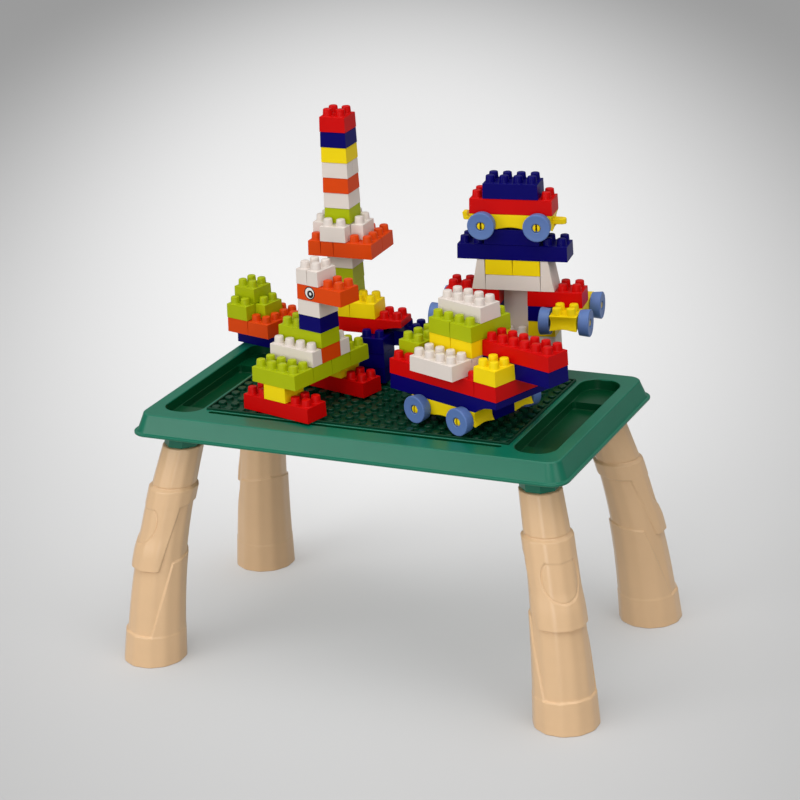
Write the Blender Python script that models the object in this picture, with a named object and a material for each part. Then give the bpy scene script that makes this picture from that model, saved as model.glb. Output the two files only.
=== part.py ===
"""Building block table with five block figures standing on it.

Metres, +Z up. The origin is on the floor, under the middle of the table. X runs along the
long side, and -Y is the front. Run with: blender --background --python part.py
"""
import math

import bmesh
import bpy
from mathutils import Vector
from mathutils.geometry import delaunay_2d_cdt

# Table: outline, heights and walls
TABLE_LENGTH = 0.526
TABLE_DEPTH = 0.298
TABLE_CORNER_RADIUS = 0.020
RIM_TOP = 0.3015
SKIRT_HEIGHT = 0.0238
FLANGE_THICKNESS = 0.0030
FLANGE_REACH = 0.0035
SKIRT_LEAN = 0.0062
RIM_ROUNDING = 0.0025
TABLE_WALL = 0.0025

# Stud plate: a separate piece, pressed into a pocket of the tabletop
PITCH = 0.016
PLATE_STUDS_LONG = 23
PLATE_STUDS_DEEP = 13
PLATE_BORDER = 0.0020
PLATE_THICKNESS = 0.0025
PLATE_STUD_HEIGHT = 0.0040
PLATE_STUD_WIDTH = 0.0104
PLATE_STUD_SIDES = 5
PLATE_ABOVE_RIM = 0.0025
FIT_GAP = 0.0003
POCKET_FLOOR = 0.0022

# Bins at both ends, groove along the front, and ribs below
BIN_INNER_X = 0.1900
BIN_OUTER_X = 0.2375
BIN_HALF_DEPTH = 0.1180
BIN_CORNER_RADIUS = 0.016
BIN_FLOOR = 0.0022
BIN_STEP_HEIGHT = 0.0090
BIN_STEP_LENGTH = 0.0450
GROOVE_HALF_LENGTH = 0.1780
GROOVE_WIDTH = 0.0070
GROOVE_DEPTH = 0.0045
GROOVE_FROM_PLATE = 0.0016
RIB_THICKNESS = 0.0020
RIB_HEIGHT = 0.0090
RIB_COUNT = 3

# Legs: splayed stepped mouldings that plug onto bosses under the corners
LEG_TOP = 0.2570
LEG_TOP_X = 0.2184
LEG_TOP_Y = 0.1024
FOOT_X = 0.2567
FOOT_Y = 0.1418
LEG_TOP_RADIUS = 0.0238
FOOT_RADIUS = 0.0372
LEG_SIDES = 10
SLEEVE_START = 0.19
SLEEVE_END = 0.28
KNEE_WAIST = 0.40
KNEE_END = 0.60
KNEE_FACE = 0.06
KNEE_BULGE = KNEE_END - KNEE_FACE
FOOT_RING_START = 0.87
STEP_EDGE = 0.012
STEP_DEPTH = 0.0018
KNEE_THICKNESS = 0.0032
BOSS_RADIUS = 0.0225
SPIGOT_RADIUS = 0.0180
SPIGOT_LENGTH = 0.0240
BOSS_SIDES = 8

# Bricks
BRICK_HEIGHT = 0.0178
STUD_WIDTH = 0.0112
STUD_TOP_WIDTH = 0.0100
STUD_HEIGHT = 0.0082
STUD_SIDES = 5
BRICK_GAP = 0.0003
BRICK_WALL = 0.0018
BRICK_DRAFT = 0.0001
SEAM_DEPTH = 0.0005
SEAM_HEIGHT = 0.0006
UNDERCUT_REACH = 0.0300
SLOPE_REACH = 0.0080

# Chassis and wheels
AXLE_HEIGHT = 0.0065
AXLE_FROM_END = 0.016
WHEEL_DIAMETER = 0.0314
WHEEL_WIDTH = 0.0120
WHEEL_BORE = 0.0078
WHEEL_DISH_WIDTH = 0.0240
WHEEL_HUB_DEPTH = 0.0030
WHEEL_SIDES = 10
PIN_WIDTH = 0.0068
PIN_HEAD_WIDTH = 0.0090
PIN_HEAD_LENGTH = 0.0016
WHEEL_SIDE_GAP = 0.0008
PIN_SIDES = 6
CHASSIS_STUDS = 6
CHASSIS_WAIST = 0.0040
CHASSIS_ARCH = 0.0028
CHASSIS_END_DIP = 0.0024
TONGUE_LENGTH = 0.0125
TONGUE_THICKNESS = 0.0065
HOOK_LENGTH = 0.0110
COUPLING_WIDTH = 0.0100

# Where the figures stand: yaw in degrees, x and y of their local corner, and their lowest level
DUCK_PLACE = (-14.8, -0.1257, -0.0983)
TRUCK_PLACE = (-20.4, 0.0226, -0.0518)
ROBOT_PLACE = (8.0, 0.0390, 0.0720)
TOWER_PLACE = (1.5, -0.1010, 0.0560)
TREE_PLACE = (-13.5, -0.2640, 0.1020)
ROBOT_LEG_LEVELS = 2

COLOURS = {
    "green": (0.006, 0.125, 0.080),
    "plate_green": (0.005, 0.110, 0.070),
    "wood": (0.640, 0.440, 0.270),
    "red": (0.610, 0.003, 0.002),
    "yellow": (0.840, 0.640, 0.005),
    "lime": (0.330, 0.410, 0.003),
    "navy": (0.004, 0.003, 0.110),
    "white": (0.740, 0.640, 0.560),
    "orange": (0.650, 0.080, 0.004),
    "blue": (0.110, 0.190, 0.430),
}

PLATE_LENGTH = PLATE_STUDS_LONG * PITCH
PLATE_DEPTH = PLATE_STUDS_DEEP * PITCH
PLATE_TOP = RIM_TOP + PLATE_ABOVE_RIM
PLATE_FIELD = PLATE_TOP - PLATE_STUD_HEIGHT
PLATE_BOTTOM = PLATE_FIELD - PLATE_THICKNESS
SKIRT_BOTTOM = RIM_TOP - SKIRT_HEIGHT
FIGURE_FLOOR = PLATE_TOP + FIT_GAP
WHEEL_RADIUS = WHEEL_DIAMETER / 2


def clear_scene():
    """Remove whatever the file opened with."""
    for thing in list(bpy.data.objects):
        bpy.data.objects.remove(thing)


def material(name):
    """The moulded plastic of one colour, made once."""
    if name in bpy.data.materials:
        return bpy.data.materials[name]
    made = bpy.data.materials.new(name)
    made.use_nodes = True
    shader = made.node_tree.nodes["Principled BSDF"]
    shader.inputs["Base Color"].default_value = (*COLOURS[name], 1.0)
    shader.inputs["Roughness"].default_value = 0.45 if name == "wood" else 0.30
    shader.inputs["Metallic"].default_value = 0.0
    return made


def make_object(name, bm, colour=None, parent=None, location=(0, 0, 0), turn=0.0):
    """Turn a bmesh into a named object with its material and its place."""
    bmesh.ops.recalc_face_normals(bm, faces=bm.faces)
    mesh = bpy.data.meshes.new(name)
    bm.to_mesh(mesh)
    bm.free()
    thing = bpy.data.objects.new(name, mesh)
    bpy.context.collection.objects.link(thing)
    if colour:
        mesh.materials.append(material(colour))
    thing.parent = parent
    thing.location = location
    thing.rotation_euler = (0, 0, turn)
    return thing


def smooth(thing, angle=35):
    """Shade the round parts smooth and keep the edges sharp."""
    thing.data.shade_smooth()
    thing.data.set_sharp_from_angle(angle=math.radians(angle))


def boolean(target, tool, operation):
    """Cut or fuse the tool into the target, then drop the tool."""
    step = target.modifiers.new(operation, "BOOLEAN")
    step.operation = operation
    step.object = tool
    bpy.context.view_layer.update()
    result = bpy.data.meshes.new_from_object(target.evaluated_get(bpy.context.evaluated_depsgraph_get()))
    target.modifiers.clear()
    old = target.data
    target.data = result
    result.name = target.name
    bpy.data.meshes.remove(old)
    bpy.data.objects.remove(tool)


def cut(target, bm):
    boolean(target, make_object("tool", bm), "DIFFERENCE")


def fuse(target, bm):
    boolean(target, make_object("tool", bm), "UNION")


def loft(bm, rings):
    """Join closed rings of points from first to last, with both ends capped."""
    loops = [[bm.verts.new(point) for point in ring] for ring in rings]
    for low, high in zip(loops, loops[1:]):
        close_between(bm, low, high)
    bm.faces.new(loops[0])
    bm.faces.new(loops[-1])
    return bm


def polygon(sides, radius, centre=(0, 0), height=0.0, turn=0.0):
    """Points of a regular polygon whose corners lie on the radius."""
    return [
        (
            centre[0] + radius * math.cos(turn + 2 * math.pi * index / sides),
            centre[1] + radius * math.sin(turn + 2 * math.pi * index / sides),
            height,
        )
        for index in range(sides)
    ]


def rounded_box_outline(x_low, x_high, y_low, y_high, radius, height, steps=2):
    """Outline of a rectangle with round corners, at one height."""
    points = []
    corners = (
        (x_high - radius, y_low + radius, -90),
        (x_high - radius, y_high - radius, 0),
        (x_low + radius, y_high - radius, 90),
        (x_low + radius, y_low + radius, 180),
    )
    for x, y, start in corners:
        for step in range(steps + 1):
            angle = math.radians(start + 90 * step / steps)
            points.append((x + radius * math.cos(angle), y + radius * math.sin(angle), height))
    return points


def box(bm, low, high):
    """A plain box between two corners."""
    rings = [
        [(low[0], low[1], z), (high[0], low[1], z), (high[0], high[1], z), (low[0], high[1], z)]
        for z in (low[2], high[2])
    ]
    return loft(bm, rings)


def table_outline(inset, height):
    """The table's outline, drawn in by an inset."""
    return rounded_box_outline(
        -TABLE_LENGTH / 2 + inset,
        TABLE_LENGTH / 2 - inset,
        -TABLE_DEPTH / 2 + inset,
        TABLE_DEPTH / 2 - inset,
        TABLE_CORNER_RADIUS - inset / 2,
        height,
    )


def leg_axis(height, side_x, side_y):
    """Centre of a leg at one height: the legs splay from the top to the feet."""
    share = 1 - height / LEG_TOP
    x = LEG_TOP_X + (FOOT_X - LEG_TOP_X) * share
    y = LEG_TOP_Y + (FOOT_Y - LEG_TOP_Y) * share
    return (side_x * x, side_y * y)


def corners():
    """The four corners of the table, with the names of their legs."""
    for side_y, depth_name in ((-1, "front"), (1, "rear")):
        for side_x, side_name in ((-1, "left"), (1, "right")):
            yield side_x, side_y, f"leg_{depth_name}_{side_name}"


def leg_boss(bm, side_x, side_y):
    """Octagonal boss under a corner, with the spigot that the leg plugs onto."""
    shoulder = LEG_TOP + FIT_GAP
    heights = (
        (SKIRT_BOTTOM + BIN_STEP_HEIGHT / 2, BOSS_RADIUS + FLANGE_THICKNESS / 2),
        (SKIRT_BOTTOM - FLANGE_THICKNESS, BOSS_RADIUS),
        (shoulder, BOSS_RADIUS),
        (shoulder, SPIGOT_RADIUS),
        (LEG_TOP - SPIGOT_LENGTH, SPIGOT_RADIUS - FIT_GAP),
    )
    turn = math.pi / BOSS_SIDES
    rings = [
        polygon(BOSS_SIDES, radius, leg_axis(height, side_x, side_y), height, turn)
        for height, radius in heights
    ]
    return loft(bm, rings)


def bin_outline(side, grow, height, half_depth=BIN_HALF_DEPTH):
    """Outline of the bin at one end, grown by a wall."""
    near = side * (BIN_INNER_X - grow)
    far = side * (BIN_OUTER_X + grow)
    return rounded_box_outline(
        min(near, far),
        max(near, far),
        -half_depth - grow,
        half_depth + grow,
        BIN_CORNER_RADIUS + grow,
        height,
    )


def tabletop():
    """Moulded top: skirt and deck, two stepped bins, plate pocket, groove, ribs and leg bosses."""
    skirt_inset = FLANGE_REACH + SKIRT_LEAN
    deck_bottom = RIM_TOP - TABLE_WALL
    shell = [
        table_outline(0, SKIRT_BOTTOM),
        table_outline(0, SKIRT_BOTTOM + FLANGE_THICKNESS),
        table_outline(FLANGE_REACH, SKIRT_BOTTOM + FLANGE_THICKNESS + RIM_ROUNDING / 2),
        table_outline(skirt_inset, RIM_TOP - RIM_ROUNDING),
        table_outline(skirt_inset + RIM_ROUNDING, RIM_TOP),
    ]
    top = make_object("tabletop", loft(bmesh.new(), shell), "green")
    below = SKIRT_BOTTOM - TABLE_WALL
    cavity_inset = skirt_inset + TABLE_WALL
    cut(top, loft(bmesh.new(), [table_outline(cavity_inset, below), table_outline(cavity_inset, deck_bottom)]))

    # Pocket tray, tubs round the bins and ribs, all overlapping the deck
    tray_x = PLATE_LENGTH / 2 + TABLE_WALL
    tray_y = PLATE_DEPTH / 2 + GROOVE_WIDTH + GROOVE_FROM_PLATE + TABLE_WALL
    tray_bottom = PLATE_BOTTOM - FIT_GAP - POCKET_FLOOR
    inside_deck = RIM_TOP - TABLE_WALL / 2
    fuse(top, box(bmesh.new(), (-tray_x, -tray_y, tray_bottom), (tray_x, tray_y, inside_deck)))
    for side in (-1, 1):
        tub = [bin_outline(side, TABLE_WALL, SKIRT_BOTTOM), bin_outline(side, TABLE_WALL, inside_deck)]
        fuse(top, loft(bmesh.new(), tub))
    inner_y = TABLE_DEPTH / 2 - cavity_inset + TABLE_WALL / 2
    for index in range(RIB_COUNT):
        x = (index - (RIB_COUNT - 1) / 2) * PLATE_LENGTH / RIB_COUNT
        low = (x - RIB_THICKNESS / 2, -inner_y, deck_bottom - RIB_HEIGHT)
        fuse(top, box(bmesh.new(), low, (x + RIB_THICKNESS / 2, inner_y, inside_deck)))
    for side_x, side_y, _ in corners():
        fuse(top, leg_boss(bmesh.new(), side_x, side_y))

    # What is open from above
    above = RIM_TOP + TABLE_WALL
    floor = SKIRT_BOTTOM + BIN_FLOOR
    for side in (-1, 1):
        step = [bin_outline(side, 0, floor + BIN_STEP_HEIGHT), bin_outline(side, 0, above)]
        cut(top, loft(bmesh.new(), step))
        well_depth = BIN_HALF_DEPTH - BIN_STEP_LENGTH
        well = [bin_outline(side, 0, floor, well_depth), bin_outline(side, 0, RIM_TOP - TABLE_WALL, well_depth)]
        cut(top, loft(bmesh.new(), well))
    pocket = (PLATE_LENGTH / 2 + FIT_GAP, PLATE_DEPTH / 2 + FIT_GAP, above)
    cut(top, box(bmesh.new(), (-pocket[0], -pocket[1], PLATE_BOTTOM - FIT_GAP), pocket))
    groove_back = -PLATE_DEPTH / 2 - GROOVE_FROM_PLATE
    groove = [
        rounded_box_outline(
            -GROOVE_HALF_LENGTH,
            GROOVE_HALF_LENGTH,
            groove_back - GROOVE_WIDTH,
            groove_back,
            GROOVE_WIDTH / 2 - FIT_GAP,
            height,
        )
        for height in (RIM_TOP - GROOVE_DEPTH, above)
    ]
    cut(top, loft(bmesh.new(), groove))
    smooth(top)
    return top


def stud_loops(bm, centre, height, base_width, top_width, stud_height, sides):
    """The foot and the tip of a stud, as two loops of points."""
    turn = math.pi / sides
    return [
        [bm.verts.new(point) for point in polygon(sides, width / 2, centre, level, turn)]
        for level, width in ((height, base_width), (height + stud_height, top_width))
    ]


def close_between(bm, lower, upper):
    """Quads between two loops with as many points."""
    count = len(lower)
    for index in range(count):
        after = (index + 1) % count
        bm.faces.new((lower[index], lower[after], upper[after], upper[index]))


def studded_face(bm, rim, studs):
    """Fill a flat face inside its rim, leaving out the feet of the studs, and close the studs."""
    loops = [rim] + [foot for foot, _ in studs]
    verts = [vert for loop in loops for vert in loop]
    owner = [number for number, loop in enumerate(loops) for _ in loop]
    edges = []
    start = 0
    for loop in loops:
        count = len(loop)
        edges += [(start + index, start + (index + 1) % count) for index in range(count)]
        start += count
    flat = [Vector((vert.co.x, vert.co.y)) for vert in verts]
    inside_faces = 1
    filled = delaunay_2d_cdt(flat, edges, [list(range(len(rim)))], inside_faces, 1e-7)
    source = [ids[0] for ids in filled[3]]
    for triangle in filled[2]:
        corners_of = [source[index] for index in triangle]
        owners = {owner[index] for index in corners_of}
        if len(owners) > 1 or owners == {0}:
            bm.faces.new([verts[index] for index in corners_of])
    for foot, tip in studs:
        close_between(bm, foot, tip)
        bm.faces.new(tip)


def pulled_in(cells, i, j, inset):
    """Grid corner (i, j) of a set of cells, pulled in from the outside by an inset."""
    around = {(dx, dy): (i + dx, j + dy) in cells for dx in (-1, 0) for dy in (-1, 0)}
    x = PITCH * i
    y = PITCH * j
    west = around[(-1, -1)] + around[(-1, 0)]
    east = around[(0, -1)] + around[(0, 0)]
    south = around[(-1, -1)] + around[(0, -1)]
    north = around[(-1, 0)] + around[(0, 0)]
    x += inset * ((east > west) - (east < west))
    y += inset * ((north > south) - (north < south))
    return x, y


def outline_of(cells):
    """The grid corners where the outline of a set of cells turns, anticlockwise."""
    steps = {}
    for i, j in cells:
        for start, end, beyond in (
            ((i, j), (i + 1, j), (i, j - 1)),
            ((i + 1, j), (i + 1, j + 1), (i + 1, j)),
            ((i + 1, j + 1), (i, j + 1), (i, j + 1)),
            ((i, j + 1), (i, j), (i - 1, j)),
        ):
            if beyond not in cells:
                steps[start] = end
    first = min(steps)
    path = [first]
    while steps[path[-1]] != first:
        path.append(steps[path[-1]])
    turning = []
    for index, here in enumerate(path):
        before = path[index - 1]
        after = path[(index + 1) % len(path)]
        if (here[0] - before[0], here[1] - before[1]) != (after[0] - here[0], after[1] - here[1]):
            turning.append(here)
    return turning


def brick_body(bm, cells, low, levels, studded, hollow):
    """One moulded block over a set of cells: walls with a seam at each level, and studs on top."""
    path = outline_of(cells)
    gap = BRICK_GAP / 2
    rings = []
    for level in range(levels):
        bottom = low + level * BRICK_HEIGHT
        rings.append((bottom + (SEAM_HEIGHT / 2 if level else 0), gap))
        if level < levels - 1:
            rings.append((bottom + BRICK_HEIGHT - SEAM_HEIGHT / 2, gap + BRICK_DRAFT))
            rings.append((bottom + BRICK_HEIGHT, gap + SEAM_DEPTH))
    top_height = low + levels * BRICK_HEIGHT - BRICK_GAP
    rings.append((top_height, gap + BRICK_DRAFT))
    loops = []
    for height, inset in rings:
        loops.append([bm.verts.new((*pulled_in(cells, *corner, inset), height)) for corner in path])
    for lower, upper in zip(loops, loops[1:]):
        close_between(bm, lower, upper)
    studs = []
    for i, j in sorted(studded):
        centre = (PITCH * (i + 0.5), PITCH * (j + 0.5))
        studs.append(stud_loops(bm, centre, top_height, STUD_WIDTH, STUD_TOP_WIDTH, STUD_HEIGHT, STUD_SIDES))
    studded_face(bm, loops[-1], studs)
    if not hollow:
        bm.faces.new(loops[0][::-1])
        return bm

    # Open below, as a brick is: the walls' inner side and the roof
    roof = low + BRICK_HEIGHT - BRICK_WALL - BRICK_GAP
    inner = []
    for height in (low, roof):
        inner.append([bm.verts.new((*pulled_in(cells, *corner, BRICK_WALL), height)) for corner in path])
    close_between(bm, loops[0], inner[0])
    close_between(bm, inner[0], inner[1])
    bm.faces.new(inner[1])
    return bm


def cells_of(rectangles):
    """The cells under rectangles given as (u, v, studs along u, studs along v)."""
    return {
        (u + i, v + j)
        for u, v, along, across in rectangles
        for i in range(along)
        for j in range(across)
    }


class Figure:
    """A block figure: an empty at its place, and its bricks by level."""

    def __init__(self, name, place, floor=FIGURE_FLOOR):
        yaw, x, y = place
        self.name = name
        self.anchor = bpy.data.objects.new(f"{name}_place", None)
        bpy.context.collection.objects.link(self.anchor)
        self.anchor.location = (x, y, floor)
        self.anchor.rotation_euler = (0, 0, math.radians(yaw))
        self.layers = []
        self.roofs = set()

    def cover(self, level, *rectangles):
        """Say that something other than a brick stands on a level, so that no studs show there."""
        self.roofs |= {(level, cell) for cell in cells_of(rectangles)}

    def brick(self, name, colour, *layers):
        """Plan a brick, or a stack fused through its studs: each layer is (level, levels, rectangles)."""
        planned = [(level, levels, cells_of(rectangles)) for level, levels, rectangles in layers]
        self.layers.append((f"{self.name}_{name}", colour, planned))

    def stands_fully(self, level, cells):
        """Whether bricks of this figure close the whole underside, so that a hollow would never show."""
        tops = {
            (low + levels, cell)
            for _, _, planned in self.layers
            for low, levels, covered in planned
            for cell in covered
        }
        return all((level, cell) in tops for cell in cells)

    def build(self):
        """Make every planned brick, with studs wherever no other brick covers them."""
        made = {}
        for _, _, planned in self.layers:
            self.roofs |= {(level, cell) for level, _, cells in planned for cell in cells}
        for name, colour, planned in self.layers:
            thing = None
            for order, (level, levels, cells) in enumerate(planned):
                top = level + levels
                own = {cell for low, _, above in planned if low == top for cell in above}
                joined = {(i, j) for i, j in own if (i + j) % 2 == 0}
                studded = {cell for cell in cells if (top, cell) not in self.roofs or cell in joined}
                hollow = len(planned) == 1 and not self.stands_fully(level, cells)
                body = brick_body(bmesh.new(), cells, level * BRICK_HEIGHT, levels, studded, hollow)
                if order == 0:
                    thing = make_object(name, body, colour)
                else:
                    fuse(thing, body)
            thing.parent = self.anchor
            smooth(thing)
            made[name] = thing
        return made


def undercut(thing, end, v_low, v_high, level, levels=1):
    """Curve the underside of a brick's end up to its top edge, as on an inverted slope."""
    steps = 6
    low = level * BRICK_HEIGHT
    rise = levels * BRICK_HEIGHT - 4 * BRICK_WALL
    x_end = end * PITCH
    points = []
    for step in range(steps + 1):
        angle = math.pi / 2 * step / steps
        points.append((x_end - UNDERCUT_REACH * math.cos(angle), low - BRICK_WALL / 2 + rise * math.sin(angle)))
    points.append((x_end + BRICK_WALL, low + rise))
    points.append((x_end + BRICK_WALL, low - BRICK_WALL))
    points.append((x_end - UNDERCUT_REACH, low - BRICK_WALL))
    rings = [[(x, y * PITCH, z) for x, z in points] for y in (v_low - 0.2, v_high + 0.2)]
    cut(thing, loft(bmesh.new(), rings))


def slope_side(thing, edge, lean, v_low, v_high, level, levels):
    """Slope the outer side of a brick inwards, towards the top of its last level."""
    low = level * BRICK_HEIGHT + BRICK_WALL
    high = (level + levels) * BRICK_HEIGHT + STUD_HEIGHT
    x = edge * PITCH
    points = [
        (x - lean * BRICK_WALL, low),
        (x, low),
        (x + lean * SLOPE_REACH, high),
        (x - lean * BRICK_WALL, high),
    ]
    rings = [[(px, y * PITCH, pz) for px, pz in points] for y in (v_low - 0.2, v_high + 0.2)]
    cut(thing, loft(bmesh.new(), rings))


def chassis_profile():
    """Side view of a chassis: arched between the axles, waisted, and flared at both ends."""
    length = CHASSIS_STUDS * PITCH
    height = BRICK_HEIGHT - BRICK_GAP
    half = []
    arch_steps = 2
    middle = length / 2
    axle = middle - AXLE_FROM_END
    for step in range(arch_steps + 1):
        share = step / arch_steps
        z = CHASSIS_ARCH * (1 + math.cos(math.pi * share)) / 2
        half.append((axle * 0.75 * share, z))
    half.append((axle + 0.45 * PITCH, 0.0))
    half.append((middle - 0.35 * PITCH, CHASSIS_WAIST / 2))
    half.append((middle - FIT_GAP, CHASSIS_WAIST / 4))
    half.append((middle - CHASSIS_END_DIP, height / 2))
    half.append((middle - FIT_GAP, height - CHASSIS_WAIST / 4))
    half.append((middle - 0.35 * PITCH, height - CHASSIS_WAIST / 3))
    half.append((middle - 0.60 * PITCH, height))
    right = [(middle + x, z) for x, z in half]
    left = [(middle - x, z) for x, z in half[:0:-1]]
    return right + left


def axle_pins(bm, length, sides):
    """Snap pins that carry the wheels, on the near side, the far side or both."""
    reach = WHEEL_SIDE_GAP + WHEEL_WIDTH - WHEEL_HUB_DEPTH + WHEEL_SIDE_GAP / 2
    stations = (
        (-BRICK_WALL, PIN_WIDTH / 2),
        (reach, PIN_WIDTH / 2),
        (reach, PIN_HEAD_WIDTH / 2),
        (reach + PIN_HEAD_LENGTH, PIN_WIDTH / 2),
    )
    for side in sides:
        for x in (AXLE_FROM_END, length - AXLE_FROM_END):
            rings = []
            for out, radius in stations:
                y = -out if side == "near" else 2 * PITCH + out
                ring = polygon(PIN_SIDES, radius, (x, AXLE_HEIGHT), 0, math.pi / PIN_SIDES)
                rings.append([(px, y, pz) for px, pz, _ in ring])
            loft(bm, rings)
    return bm


def coupling(bm, length):
    """Tongue with a round end at one end of a chassis, and a hook at the other."""
    y_low = PITCH - COUPLING_WIDTH / 2
    y_high = PITCH + COUPLING_WIDTH / 2
    z_high = BRICK_HEIGHT * 0.66
    tongue = [
        (length - CHASSIS_END_DIP - BRICK_WALL, y_low),
        (length + TONGUE_LENGTH - COUPLING_WIDTH / 2, y_low),
    ]
    steps = 5
    for step in range(1, steps):
        angle = -math.pi / 2 + math.pi * step / steps
        x = length + TONGUE_LENGTH - COUPLING_WIDTH / 2 + COUPLING_WIDTH / 2 * math.cos(angle)
        tongue.append((x, PITCH + COUPLING_WIDTH / 2 * math.sin(angle)))
    tongue.append((length + TONGUE_LENGTH - COUPLING_WIDTH / 2, y_high))
    tongue.append((length - CHASSIS_END_DIP - BRICK_WALL, y_high))
    loft(bm, [[(x, y, z) for x, y in tongue] for z in (z_high - TONGUE_THICKNESS, z_high)])
    base = BRICK_HEIGHT * 0.40
    hook = [
        (CHASSIS_END_DIP + BRICK_WALL, base),
        (CHASSIS_END_DIP + BRICK_WALL, base + TONGUE_THICKNESS / 2),
        (-HOOK_LENGTH / 2, base + TONGUE_THICKNESS / 2),
        (-HOOK_LENGTH / 2 - BRICK_WALL / 2, base + TONGUE_THICKNESS * 1.4),
        (-HOOK_LENGTH, base + TONGUE_THICKNESS * 1.4),
        (-HOOK_LENGTH + BRICK_WALL, base),
    ]
    loft(bm, [[(x, y, z) for x, z in hook] for y in (y_low, y_high)])
    return bm


def chassis(figure, name, colour, place, pins=("near", "far"), studded=(), turned=False, coupled=False):
    """A wheeled base with its axle pins, at (u, v, level) in its figure."""
    length = CHASSIS_STUDS * PITCH
    outline = chassis_profile()
    edge = BRICK_GAP / 2
    rings = [[(x, y, z) for x, z in outline] for y in (edge, 2 * PITCH - edge)]
    thing = make_object(f"{figure.name}_{name}", loft(bmesh.new(), rings), colour)
    fuse(thing, axle_pins(bmesh.new(), length, pins))
    if coupled:
        fuse(thing, coupling(bmesh.new(), length))
    for i, j in studded:
        centre = (PITCH * (i + 0.5), PITCH * (j + 0.5))
        base = polygon(STUD_SIDES, STUD_WIDTH / 2, centre, BRICK_HEIGHT - BRICK_WALL)
        tip = polygon(STUD_SIDES, STUD_TOP_WIDTH / 2, centre, BRICK_HEIGHT - BRICK_GAP + STUD_HEIGHT)
        fuse(thing, loft(bmesh.new(), [base, tip]))
    u, v, level = place
    thing.parent = figure.anchor
    thing.location = (u * PITCH, v * PITCH, level * BRICK_HEIGHT)
    if turned:
        thing.rotation_euler = (0, 0, math.pi / 2)
        thing.location.x += 2 * PITCH
    smooth(thing)
    return thing


def wheel_mesh():
    """A wheel round its own axle, outer face towards -Y: a tyre, a dish and a recessed hub."""
    outer = WHEEL_DIAMETER / 2
    half = WHEEL_WIDTH / 2
    hub = -half + WHEEL_HUB_DEPTH
    profile = (
        (WHEEL_BORE / 2, half),
        (outer, half),
        (outer, -half),
        (WHEEL_DISH_WIDTH / 2, -half),
        (WHEEL_BORE / 2, hub),
    )
    bm = bmesh.new()
    loops = []
    for step in range(WHEEL_SIDES):
        angle = 2 * math.pi * step / WHEEL_SIDES - math.pi / 2
        ring = [(r * math.cos(angle), y, r * math.sin(angle)) for r, y in profile]
        loops.append([bm.verts.new(point) for point in ring])
    count = len(profile)
    for step in range(WHEEL_SIDES):
        here = loops[step]
        after = loops[(step + 1) % WHEEL_SIDES]
        for index in range(count):
            following = (index + 1) % count
            bm.faces.new((here[index], here[following], after[following], after[index]))
    return bm


def wheels(base, name, sides):
    """Wheels on a chassis: one at each end, on its near side, its far side or both."""
    length = CHASSIS_STUDS * PITCH
    offset = WHEEL_SIDE_GAP + WHEEL_WIDTH / 2
    for side in sides:
        y = -offset if side == "near" else 2 * PITCH + offset
        for x, end in ((AXLE_FROM_END, "a"), (length - AXLE_FROM_END, "b")):
            turn = 0 if side == "near" else math.pi
            wheel = make_object(f"{name}_{side}_{end}", wheel_mesh(), "blue", base, (x, y, AXLE_HEIGHT), turn)
            smooth(wheel, 40)


def plate_outline(inset, height):
    """The plate's outline, drawn in by an inset."""
    x = PLATE_LENGTH / 2 - inset
    y = PLATE_DEPTH / 2 - inset
    return [(-x, -y, height), (x, -y, height), (x, y, height), (-x, y, height)]


def stud_plate():
    """The studded plate: a field of studs inside a thin raised border."""
    bm = bmesh.new()
    sections = ((0, PLATE_BOTTOM), (0, PLATE_TOP), (PLATE_BORDER, PLATE_TOP), (PLATE_BORDER, PLATE_FIELD))
    loops = [[bm.verts.new(point) for point in plate_outline(*section)] for section in sections]
    for lower, upper in zip(loops, loops[1:]):
        close_between(bm, lower, upper)
    bm.faces.new(loops[0][::-1])
    tip = PLATE_STUD_WIDTH - 2 * FIT_GAP
    studs = []
    for i in range(PLATE_STUDS_LONG):
        for j in range(PLATE_STUDS_DEEP):
            centre = (PITCH * (i + 0.5) - PLATE_LENGTH / 2, PITCH * (j + 0.5) - PLATE_DEPTH / 2)
            size = (PLATE_STUD_WIDTH, tip, PLATE_STUD_HEIGHT, PLATE_STUD_SIDES)
            studs.append(stud_loops(bm, centre, PLATE_FIELD, *size))
    studded_face(bm, loops[-1], studs)
    plate = make_object("stud_plate", bm, "plate_green")
    smooth(plate)
    return plate


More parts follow.
